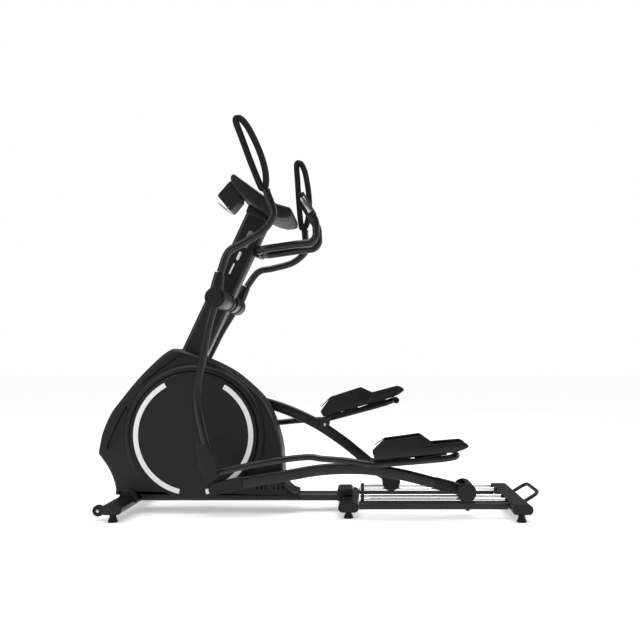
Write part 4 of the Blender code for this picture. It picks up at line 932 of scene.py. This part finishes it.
PANEL_MARGIN = 0.012
panel_stop = panel_length - 0.010
carve(housing, [on_panel_outline(((PANEL_MARGIN, -0.004), (panel_stop, -0.004), (panel_stop, 0.02),
                                  (PANEL_MARGIN, 0.02)), PANEL_MARGIN)])
glass = powder_coat("panel_glass", (0.004, 0.005, 0.006), (0.007, 0.008, 0.010), 0.10, 60.0, 0.00002)
key_rubber = powder_coat("key_rubber", (0.028, 0.028, 0.030), (0.040, 0.040, 0.042), 0.6, 900.0, 0.0003)
dress(glass, "console_glass", "console_screen")
dress(key_rubber, "grip_rubber", "console_key_left", "console_key_right")
neck_line = [(on_mast(1.287, -0.0555).x, on_mast(1.287, -0.0555).y + 0.0003),
             (on_mast(1.287, 0.0555).x, on_mast(1.287, 0.0555).y + 0.0003), (-0.222, 1.2885),
             (-0.305, 1.3472)]
build("console_neck_cover", plate(neck_line, -0.047, 0.047), moulded_black,
      stands_for=["console_neck"], round_to=0.006)
box_line = [(-0.4390, 1.3810), (-0.4330, 1.3910), (-0.3860, 1.4440), (-0.3760, 1.4460), (-0.3695, 1.4410),
            (-0.3685, 1.4225), (-0.3375, 1.3845), (-0.3400, 1.3660), (-0.3780, 1.3195), (-0.3880, 1.3175)]
build("console_rear_box", plate(box_line, -0.062, 0.062), moulded_black, round_to=0.006)
bracket_line = [(-0.4382, 1.3500), (-0.3990, 1.3200), (-0.3840, 1.3315), (-0.3856, 1.3335), (-0.3990, 1.3232),
                (-0.4366, 1.3520)]
build("console_bracket", plate(bracket_line, -0.066, 0.066), bright_steel)
tray = on_panel_outline(((panel_length + 0.003, 0.0005), (panel_length + 0.003, 0.006),
                         (panel_length + 0.007, 0.0065), (panel_length + 0.011, 0.001)), 0.02)
build("console_tray_lip", tray, moulded_black, round_to=0.0012)
frame_strip = [on_panel_outline(((start, -0.001), (stop, -0.001), (stop, 0.0008), (start, 0.0008)), PANEL_MARGIN)
               for start, stop in ((0.009, 0.0118), (panel_length - 0.0098, panel_length - 0.007))]
build("console_bezel", merge(*frame_strip), satin_black)

# ---- fixed handlebar ------------------------------------------------------------------------
# A U of bent tube held by a two-part clamp on the mast's rear face.
# Each leg ends in a rubber grip with a bright sensor plate and a collar at both ends.
FIXED_TUBE = 0.016
FIXED_HALF = 0.100
FIXED_GRIP = 0.0195
BAR_CLAMP_Z = 1.170
BAR_BEND = 0.045
SENSOR_START = 150.0
SENSOR_SPAN = 60.0
grip_rubber = powder_coat("grip_rubber", (0.009, 0.009, 0.0095), (0.014, 0.014, 0.0145), 0.62, 1300.0, 0.0006)
bar_seat = on_mast(BAR_CLAMP_Z, MAST_DEPTH / 2.0 + FIXED_TUBE + 0.003)


def collar(middle, way, profile, count=40):
    """Ring of revolution about a way in the X-Z plane; profile is a closed list of (along, radius)."""
    across = Vector((0.0, 1.0, 0.0))
    up = across.cross(way)
    angles = [2.0 * math.pi * i / count for i in range(count)]
    return loft([[middle + way * along + (across * math.cos(a) + up * math.sin(a)) * radius
                  for along, radius in profile] for a in angles], closed=True)


grip_low = Vector((-0.0195, 0.0, 1.2815))
grip_top = Vector((-0.0770, 0.0, 1.3800))
grip_way = (grip_top - grip_low).normalized()
leg_top = grip_low - grip_way * 0.022
half_u = [(bar_seat.x, FIXED_HALF, bar_seat.y), (-0.085, FIXED_HALF, 1.164), (-0.004, FIXED_HALF, 1.172),
          (leg_top.x, FIXED_HALF, leg_top.z), (grip_low.x, FIXED_HALF, grip_low.z)]
whole_u = [(x, -y, z) for x, y, z in reversed(half_u)] + half_u
build("fixed_handlebar", tube(bent(whole_u, BAR_BEND, 12), circle(FIXED_TUBE, 36), side=(1.0, 0.0, 0.0)),
      satin_black, stands_for=["fixed_bar"])
for side_name, side in SIDES:
    offset = Vector((0.0, side * FIXED_HALF, 0.0))
    length = (grip_top - grip_low).length
    stations = [(0.0008, 0.0165), (0.0008, 0.0192), (0.002, FIXED_GRIP), (0.0075, FIXED_GRIP),
                (0.0085, 0.0186), (0.0100, 0.0186), (0.0108, 0.0192), (length - 0.0108, 0.0192),
                (length - 0.0100, 0.0184), (length - 0.0085, 0.0184), (length - 0.0076, FIXED_GRIP),
                (length - 0.004, FIXED_GRIP), (length - 0.0012, 0.0180), (length, 0.0145)]
    across = Vector((0.0, 1.0, 0.0))
    up = across.cross(grip_way)
    rings = [[grip_low + offset + grip_way * d + across * u * r + up * v * r for u, v in circle(1.0, 40)]
             for d, r in stations]
    build("fixed_handle_grip_" + side_name, loft(rings), grip_rubber,
          stands_for=["fixed_grip_" + side_name])
    rows = []
    for d in (0.020, 0.0215, length - 0.0225, length - 0.021):
        lift = 0.0196 if 0.021 < d < length - 0.022 else 0.0190
        angles = [math.radians(SENSOR_START + SENSOR_SPAN * i / 14) for i in range(15)]
        centre = grip_low + offset + grip_way * d
        rows.append([centre + (across * math.cos(a) + up * math.sin(a)) * lift for a in angles]
                    + [centre + (across * math.cos(a) + up * math.sin(a)) * 0.0185 for a in reversed(angles)])
    build("pulse_plate_" + side_name, loft(rows), bright_steel)
    for d, label in ((0.0145, "low"), (length - 0.016, "high")):
        profile = [(-0.0022, 0.0190), (-0.0022, 0.0199), (0.0022, 0.0199), (0.0022, 0.0190)]
        ring = collar(grip_low + offset + grip_way * d, grip_way, profile)
        build("grip_collar_" + label + "_" + side_name, ring, moulded_black)

clamp_seat = on_mast(BAR_CLAMP_Z, MAST_DEPTH / 2.0 + GAP)
clamp_way = Vector((math.cos(MAST_LEAN), -math.sin(MAST_LEAN)))
clamp_up = Vector((-clamp_way.y, clamp_way.x))
clamp_reach = 2.0 * FIXED_TUBE + 0.006
clamp_line = [tuple(clamp_seat + clamp_way * a + clamp_up * u) for a, u in
              ((0.0, -0.026), (clamp_reach - 0.004, -0.022), (clamp_reach, -0.018), (clamp_reach, 0.016),
               (clamp_reach - 0.004, 0.020), (0.0, 0.024))]
clamp = build("handlebar_clamp", plate(clamp_line, -0.030, 0.030), satin_black, stands_for=["bar_clamp"])
carve(clamp, [loft([[Vector((bar_seat.x + u, y, bar_seat.y + v)) for u, v in circle(FIXED_TUBE + GAP, 40)]
                    for y in (-0.05, 0.05)])])
split = clamp_seat + clamp_way * (FIXED_TUBE + 0.003)
carve(clamp, [plate([tuple(split + clamp_way * a + clamp_up * u) for a, u in
                     ((-0.0006, -0.05), (0.0006, -0.05), (0.0006, 0.05), (-0.0006, 0.05))], y0, y1)
              for y0, y1 in ((-0.0310, -0.0285), (0.0285, 0.0310))])
for side_name, side in SIDES:
    for spot, label in ((0.0205, "upper"), (-0.0215, "lower")):
        centre = split + clamp_up * spot + clamp_way * 0.011
        bolt = [(side * 0.0298, 0.0045), (side * 0.0318, 0.0045), (side * 0.0326, 0.0035)]
        level = centre.y - (0.004 if spot > 0 else -0.004)
        build("clamp_bolt_" + label + "_" + side_name, turned(centre.x, level, bolt, 24), bright_steel)

# ---- swinging handles -----------------------------------------------------------------------
# A bent lower tube welded to a turned hub, and an upper tube held in the hub's socket.
# A foam-covered loop closes its head, and a moulded cover hides the lower pivot.
SWING_LENGTH = 0.727
LINK_LENGTH = 0.665
SWING_TUBE = 0.016
HUB_RADIUS = 0.042
HANDLE_RADIUS = 0.0155
FOAM_RADIUS = 0.0135
EYE_RADIUS = 0.020
LINK_Y = 0.2385
swing_bow = [(0.030, 0.0020), (0.181, 0.029), (0.325, 0.046), (0.431, 0.059), (0.523, 0.067), (0.635, 0.063),
             (0.750, 0.044), (0.834, 0.0275), (0.930, 0.011), (1.000, 0.0)]
handle_line = [(0.0185, 0.1045), (0.050, 0.188), (0.1124, 0.2269), (0.1906, 0.2791), (0.2306, 0.3383),
               (0.2281, 0.3747), (0.2083, 0.4244), (0.2004, 0.4463)]
grip_loop = [(0.1985, 0.460), (0.1957, 0.5233), (0.1703, 0.6049), (0.1280, 0.6912), (0.0983, 0.7318),
             (0.0790, 0.7410), (0.0700, 0.7280), (0.0960, 0.6600), (0.1370, 0.5550), (0.1730, 0.4700),
             (0.1860, 0.4510)]
grip_foam = powder_coat("grip_foam", (0.0070, 0.0070, 0.0073), (0.0110, 0.0110, 0.0113),
                         0.80, 1100.0, 0.0009, 0.0, 0.18)


def in_frame(origin, direction):
    """Map (along, up) in a part's own plane to the X-Z plane, along running with direction."""
    unit = direction.normalized()
    upward = Vector((-unit.y, unit.x))

    def place(along, up):
        return origin + unit * along + upward * up

    return place


def path_at(place, points, y):
    """Path at one distance across the machine, from points in a part's own plane."""
    spots_along = [place(along, up) for along, up in points]
    return [(spot.x, y, spot.y) for spot in spots_along]


def outline_at(place, points):
    return [tuple(place(along, up)) for along, up in points]


elbows = {}
for side_name, side in SIDES:
    swing = flat(spots[side_name + "_swing"])
    pedal = flat(spots[side_name + "_pedal"])
    elbow = meet(swing, SWING_LENGTH, pedal, LINK_LENGTH, 1.0)
    elbows[side_name] = elbow
    body = "swing_" + side_name
    down = in_frame(swing, elbow - swing)
    upright = in_frame(swing, swing - elbow)
    path = path_at(down, [(share * SWING_LENGTH, -bow) for share, bow in swing_bow], side * SWING_Y)
    lower = tube(curve(path, 7), circle(SWING_TUBE, 32))
    eye = turned(elbow.x, elbow.y, outwards(side, SWING_Y,
                                            [(-0.0155, EYE_RADIUS - 0.001), (-0.0145, EYE_RADIUS),
                                             (0.0145, EYE_RADIUS), (0.0155, EYE_RADIUS - 0.001)]), 40)
    profile = outwards(side, HUB_INNER, [(0.0, HUB_RADIUS - 0.0015), (0.0015, HUB_RADIUS)])
    profile += outwards(side, SWING_Y, [(-0.0230, HUB_RADIUS), (-0.0220, HUB_RADIUS - 0.0016),
                                        (-0.0200, HUB_RADIUS - 0.0016), (-0.0190, HUB_RADIUS)])
    profile += outwards(side, SWING_Y + 0.016, [(-0.0022, HUB_RADIUS), (-0.0006, HUB_RADIUS - 0.0008),
                                                (0.0, HUB_RADIUS - 0.0026), (0.0, 0.0352), (-0.0022, 0.0346),
                                                (-0.0022, 0.0334), (-0.0004, 0.0326), (0.0, 0.0310),
                                                (0.0, 0.004)])
    hub = turned(swing.x, swing.y, profile, 80)
    build("handle_lower_tube_" + side_name, merge(lower, eye), satin_black, body,
          stands_for=["swing_arm_" + side_name])
    build("handle_hub_" + side_name, hub, moulded_black, body)

    # the socket is a pressed sleeve that widens towards the hub
    sleeve = []
    for share, width, depth in ((0.000, 0.036, 0.052), (0.10, 0.0364, 0.0535), (0.45, 0.0364, 0.050),
                                (0.80, 0.0364, 0.0440), (0.97, 0.0364, 0.0405), (1.00, 0.0350, 0.0385)):
        rise = 0.0270 + share * 0.0770
        middle = upright(rise, -0.0035 - share * 0.0125)
        lean = in_frame(middle, upright(1.0, -0.16) - upright(0.0, 0.0))
        ring = []
        for u, v in oval(width, depth, 0.0165, 8):
            spot = lean(0.0, v)
            ring.append(Vector((spot.x, side * (SWING_Y - 0.0020) + u, spot.y)))
        sleeve.append(ring)
    build("handle_socket_" + side_name, loft(sleeve), satin_black, body)

    path = path_at(upright, [(rise, -back) for back, rise in handle_line], side * SWING_Y)
    build("handle_upper_tube_" + side_name, tube(curve(path, 8), circle(HANDLE_RADIUS, 32)), satin_black,
          body, stands_for=["upper_handle_" + side_name])
    loop = []
    for i, (back, rise) in enumerate(grip_loop):
        spot = upright(rise, -back)
        loop.append(Vector((spot.x, side * (SWING_Y - 0.012 * math.sin(math.pi * i / len(grip_loop))),
                            spot.y)))
    ring_path = curve([loop[-1]] + loop + [loop[0], loop[1]], 7)[7:-14]
    build("handle_foam_loop_" + side_name, tube(ring_path, circle(FOAM_RADIUS, 32), closed=True), grip_foam,
          body, stands_for=["handle_grip_" + side_name])
    tip = Vector(path[-1])
    before = (tip - Vector(path[-2])).normalized()
    profile = [(-0.004, HANDLE_RADIUS - 0.0004), (-0.004, HANDLE_RADIUS + 0.0006),
               (0.0, HANDLE_RADIUS + 0.0013), (0.004, HANDLE_RADIUS + 0.0006),
               (0.004, HANDLE_RADIUS - 0.0004)]
    build("foam_collar_" + side_name, collar(tip - before * 0.004, before, profile), moulded_black, body)

    # cover of the lower pivot: a shallow moulding with a stepped rim and one screw
    outline = [(0.815, -0.064), (0.845, -0.020), (0.890, 0.016), (0.955, 0.0215), (1.000, 0.0235),
               (1.024, 0.010), (1.036, -0.006), (1.030, -0.020), (1.010, -0.031), (0.935, -0.056)]
    cover = outline_at(down, [(SWING_LENGTH * share, out) for share, out in outline])
    face = SWING_Y + 0.016 + GAP
    steps = ((0.0, 0.0), (0.0036, 0.0), (0.0046, 0.0010), (0.0046, 0.0030), (0.0052, 0.0036),
             (0.0060, 0.0048))
    steps = [(face + out, amount) for out, amount in steps]
    build("pivot_cover_" + side_name, loft(layered(cover, side, steps)), moulded_black, body,
          stands_for=["joint_cover_" + side_name])
    spot = down(SWING_LENGTH * 0.935, -0.016)
    screws("pivot_cover_screw_" + side_name, [(spot.x, side * (face + 0.0062), spot.y)], side, 0.0048, body,
           grille_dark, 0.0012)

# ---- pedal arms -----------------------------------------------------------------------------
# Rounded box tubes, bent in one sweep from the crank pin back to the roller.
# A moulded sleeve covers the joint at each end, and a welded pin carries the link and pedal.
ARM_Y = 0.151
ARM_WIDTH = 0.030
ARM_HEIGHT = 0.047
arm_line = [(0.000, 0.0), (0.038, 0.0105), (0.102, 0.0270), (0.2885, 0.0570), (0.440, 0.0830),
            (0.556, 0.0905), (0.664, 0.0865), (0.7855, 0.0670), (0.871, 0.0470), (0.956, 0.0250),
            (1.046, 0.0030)]


for side_name, side in SIDES:
    body = "arm_" + side_name
    pin = pins[side_name]
    roller = flat(spots[side_name + "_lift"])
    pedal = flat(spots[side_name + "_pedal"])
    chord = in_frame(pin, roller - pin)
    fine = curve(path_at(chord, arm_line, side * ARM_Y), 8)
    arm_low = side * (ARM_Y - ARM_WIDTH / 2.0 + 0.0005)
    arm_high = side * (ARM_Y + ARM_WIDTH / 2.0 - 0.0005)
    parts = [tube(fine, oval(ARM_WIDTH, ARM_HEIGHT, 0.0095, 6))]
    parts.append(turned(roller.x, roller.y, [(arm_low, 0.021), (arm_high, 0.021)], 48))
    parts.append(turned(pedal.x, pedal.y, [(side * (ARM_Y - 0.0235), 0.008), (side * 0.222, 0.008)], 28))
    build("pedal_arm_tube_" + side_name, merge(*parts), satin_black, body,
          stands_for=["pedal_arm_" + side_name])

    # front sleeve: wraps the crank pin with a round nose
    nose = arc(0.0, 0.0, 0.0245, 250, 96, 16)
    sleeve_line = nose + [(0.060, 0.0430), (0.118, 0.0540), (0.1245, 0.0060), (0.060, -0.0095),
                          (0.010, -0.0215)]
    sleeve = outline_at(chord, sleeve_line)
    half = ARM_WIDTH / 2.0 + 0.0022
    cuff = plate(sleeve, side * (ARM_Y - half + 0.002), side * (ARM_Y + half))
    build("arm_front_sleeve_" + side_name, cuff, moulded_black, body, round_to=0.003)
    bolt = chord(0.072, 0.0180)
    screws("arm_front_bolt_" + side_name, [(bolt.x, side * (ARM_Y + half + 0.0004), bolt.y)], side, 0.0048,
           body, grille_dark, 0.0014)
    rear = rings_along(fine, oval(ARM_WIDTH + 0.0044, ARM_HEIGHT + 0.0044, 0.0115, 6))
    lengths = [0.0]
    for a, b in zip(fine, fine[1:]):
        lengths.append(lengths[-1] + (b - a).length)
    picked = [ring for ring, far in zip(rear, lengths) if lengths[-1] - 0.118 < far < lengths[-1] - 0.034]
    build("arm_rear_sleeve_" + side_name, loft(picked), moulded_black, body, round_to=0.0015)

# ---- roller carriages -----------------------------------------------------------------------
# Two grooved wheels on one axle run on each pair of rods, under a drum-shaped moulded cover.
# The cover's end discs are flat, and its curved wall closes only the top and the rear.
DRUM = 0.041
COVER_LOW = 0.077
COVER_HIGH = 0.219
ROD_INNER_Y = 0.094
ROD_OUTER_Y = 0.187
GROOVE = [(0.0035, 0.0258), (0.0070, 0.0276), (0.0088, 0.0320), (0.0105, 0.0358), (0.012, 0.0358),
          (0.013, 0.034), (0.013, 0.0065)]
roller_polymer = powder_coat("roller_polymer", (0.014, 0.014, 0.0145), (0.024, 0.024, 0.025), 0.40, 700.0,
                             0.0003)
for side_name, side in SIDES:
    roller = flat(spots[side_name + "_lift"])
    body = "carriage_" + side_name
    drum = arc(roller.x, roller.y, DRUM, -35, 92, 40) + arc(roller.x, roller.y, DRUM - 0.003, 92, -35, 40)
    parts = [plate(drum, side * (COVER_LOW + 0.0035), side * (COVER_HIGH - 0.0035))]
    for a, b in ((COVER_LOW, COVER_LOW + 0.004), (COVER_HIGH, COVER_HIGH - 0.004)):
        turn = 1.0 if a < b else -1.0
        profile = [(side * b, DRUM - 0.0006)]
        profile += outwards(side, a, [(turn * 0.0012, DRUM - 0.0003), (turn * 0.0004, DRUM - 0.0010),
                                      (0.0, DRUM - 0.0022), (0.0, DRUM - 0.0060),
                                      (turn * 0.0005, DRUM - 0.0066), (turn * 0.0005, 0.010)])
        parts.append(turned(roller.x, roller.y, profile, 72))
    build("roller_cover_" + side_name, merge(*parts), moulded_black, body,
          stands_for=["roller_housing_" + side_name])
    profile = [(side * (COVER_LOW + 0.0045), 0.0065)]
    for middle in (ROD_INNER_Y, ROD_OUTER_Y):
        profile += outwards(side, middle, [(-out, radius) for out, radius in reversed(GROOVE)] + GROOVE)
    profile.append((side * (COVER_HIGH - 0.0045), 0.0065))
    build("grooved_wheels_" + side_name, turned(roller.x, roller.y, profile, 64), roller_polymer, "wheels_"
          + side_name, stands_for=["roller_wheels_" + side_name])

# ---- links and footplates -------------------------------------------------------------------
# One bent tube joins the handle's lower pivot to the pedal and turns in under the footplate.
# The footplate is a moulding with a raised toe and side walls and a ribbed tread behind.
PEDAL_OUTER = 0.258
PEDAL_WIDTH = 0.143
LINK_RADIUS = 0.0135
LINK_TURN = ((0.334, 0.0375, 0.232), (0.343, 0.0390, 0.216), (0.345, 0.0395, 0.190), (0.345, 0.0395, 0.130))
link_line = [(-0.665, 0.0), (-0.629, 0.0102), (-0.481, 0.0362), (-0.378, 0.0498), (-0.274, 0.0569),
             (-0.213, 0.0478), (-0.118, 0.0370), (-0.0234, 0.0198), (0.010, 0.0170), (0.262, 0.0292),
             (0.316, 0.0350)]
footplate_black = powder_coat("footplate_black", (0.0066, 0.0067, 0.0070), (0.0090, 0.0091, 0.0095),
                               0.50, 1200.0, 0.0006)

bar_tree, bar_in, bar_out = rule_tree("tread_bars", (
    ("Bar Length", "NodeSocketFloat", 0.110), ("Bar Radius", "NodeSocketFloat", 0.0012),
    ("Finish", "NodeSocketMaterial", None)))
bar_rod = bar_tree.nodes.new("GeometryNodeMeshCylinder")
bar_rod.inputs["Vertices"].default_value = 10
bar_turn = bar_tree.nodes.new("GeometryNodeTransform")
bar_turn.inputs["Rotation"].default_value = (math.radians(90.0), 0.0, 0.0)
bar_spread = bar_tree.nodes.new("GeometryNodeInstanceOnPoints")
wire(bar_tree, (bar_in, "Bar Radius", bar_rod, "Radius"), (bar_in, "Bar Length", bar_rod, "Depth"),
     (bar_rod, "Mesh", bar_turn, "Geometry"), (bar_in, "Geometry", bar_spread, "Points"),
     (bar_turn, "Geometry", bar_spread, "Instance"))
end_tree(bar_tree, bar_in, bar_out, bar_spread)

for side_name, side in SIDES:
    body = "pedal_" + side_name
    pedal = flat(spots[side_name + "_pedal"])
    elbow = elbows[side_name]
    way = in_frame(pedal, pedal - elbow)
    path = path_at(way, link_line, side * LINK_Y)
    for along, up, y in LINK_TURN:
        path += path_at(way, [(along, up)], side * y)
    parts = [tube(curve(path, 6), circle(LINK_RADIUS, 32))]
    eye = outwards(side, LINK_Y, [(-0.0125, EYE_RADIUS), (0.0125, EYE_RADIUS)])
    parts.append(turned(elbow.x, elbow.y, eye, 40))
    barrel = outwards(side, ARM_Y + ARM_WIDTH / 2.0, [(0.001, EYE_RADIUS - 0.001), (0.002, EYE_RADIUS)])
    barrel.append((side * (LINK_Y + 0.001), EYE_RADIUS))
    parts.append(turned(pedal.x, pedal.y, barrel, 40))
    bracket = outline_at(way, ((-0.016, 0.026), (0.150, 0.0335), (0.150, 0.0375), (-0.016, 0.030)))
    parts.append(plate(bracket, side * (ARM_Y - 0.0230), side * (LINK_Y + 0.002)))
    lug = outline_at(way, arc(0.0, 0.0, 0.021, 180, 360, 15) + [(0.040, 0.0305), (-0.0155, 0.028)])
    parts.append(plate(lug, side * (ARM_Y - 0.0225), side * (ARM_Y - 0.0170)))
    build("link_and_bracket_" + side_name, merge(*parts), satin_black, body,
          stands_for=["link_tube_" + side_name])
    plug_at = way(0.345, 0.0395)
    plug = outwards(side, 0.1305, [(0.0, LINK_RADIUS - 0.0003), (-0.0020, LINK_RADIUS + 0.0006),
                                   (-0.0035, LINK_RADIUS - 0.0002), (-0.0043, 0.009)])
    build("link_end_plug_" + side_name, turned(plug_at.x, plug_at.y, plug, 36), grille_dark, body)
    lug_bolt = outwards(side, ARM_Y, [(-0.0240, 0.0068), (-0.0265, 0.0068), (-0.0275, 0.0052)])
    build("pedal_pin_nut_" + side_name, turned(pedal.x, pedal.y, lug_bolt, 6), bright_steel, "arm_"
          + side_name)

    inner = PEDAL_OUTER - PEDAL_WIDTH
    rise = 0.0022
    side_line = [(-0.006, 0.0620), (0.002, 0.0358), (0.335, 0.0556), (0.366, 0.0640), (0.384, 0.0722),
                 (0.390, 0.0772), (0.390, 0.0815), (0.385, 0.0880), (0.3780, 0.0935), (0.3696, 0.0957),
                 (0.2443, 0.0899), (0.1964, 0.1255), (0.0478, 0.1105)]
    outline = outline_at(way, [(along, up + rise) for along, up in side_line])
    layers = ((inner, 0.0035), (inner + 0.0012, 0.0012), (inner + 0.0040, 0.0), (PEDAL_OUTER - 0.0040, 0.0),
              (PEDAL_OUTER - 0.0012, 0.0012), (PEDAL_OUTER, 0.0035))
    shape = loft(layered(outline, side, layers))
    well = outline_at(way, ((0.016, 0.062), (0.028, 0.0480), (0.350, 0.0700), (0.381, 0.0850), (0.45, 0.086),
                            (0.45, 0.20), (0.060, 0.20), (0.046, 0.100)))
    footplate = build("footplate_" + side_name, shape, footplate_black, body,
                      stands_for=["pedal_" + side_name])
    carve(footplate, [plate(well, side * (inner + 0.0055), side * (PEDAL_OUTER - 0.0055))])

    # soft edging along the tops of the walls
    rim = []
    rim_line = [(0.004, 0.0850), (0.0478, 0.1138), (0.1964, 0.1290), (0.2443, 0.0932), (0.3690, 0.0988)]
    for a, b in zip(rim_line, rim_line[1:]):
        first = way(*a)
        last = way(*b)
        for y in (inner + 0.0028, PEDAL_OUTER - 0.0028):
            rim.append(tube([Vector((first.x, side * y, first.y)), Vector((last.x, side * y, last.y))],
                            oval(0.0056, 0.0036, 0.0016, 3)))
    build("footplate_rim_" + side_name, merge(*rim), sole_rubber, body)
    ribs = []
    for i in range(15):
        along = 0.060 + i * 0.0195
        spot = way(along, 0.0480 + (along - 0.028) * (0.0220 / 0.322) + 0.0002)
        ribs.append((spot.x, side * (PEDAL_OUTER - PEDAL_WIDTH / 2.0), spot.y))
    grow("footplate_tread_" + side_name, ribs, bar_tree, {"Bar Length": PEDAL_WIDTH - 0.020,
                                                          "Bar Radius": 0.0018}, sole_rubber, body)
    spacer = []
    for start, stop in ((0.012, 0.085), (0.089, 0.165), (0.169, 0.300)):
        spacer.append(plate([tuple(way(start, 0.0340)), tuple(way(stop, 0.0345 + stop * 0.045)),
                             tuple(way(stop, 0.0372 + stop * 0.0585)), tuple(way(start, 0.0372))],
                            side * (inner + 0.008), side * (PEDAL_OUTER - 0.008)))
    build("footplate_spacers_" + side_name, merge(*spacer), grille_dark, body)
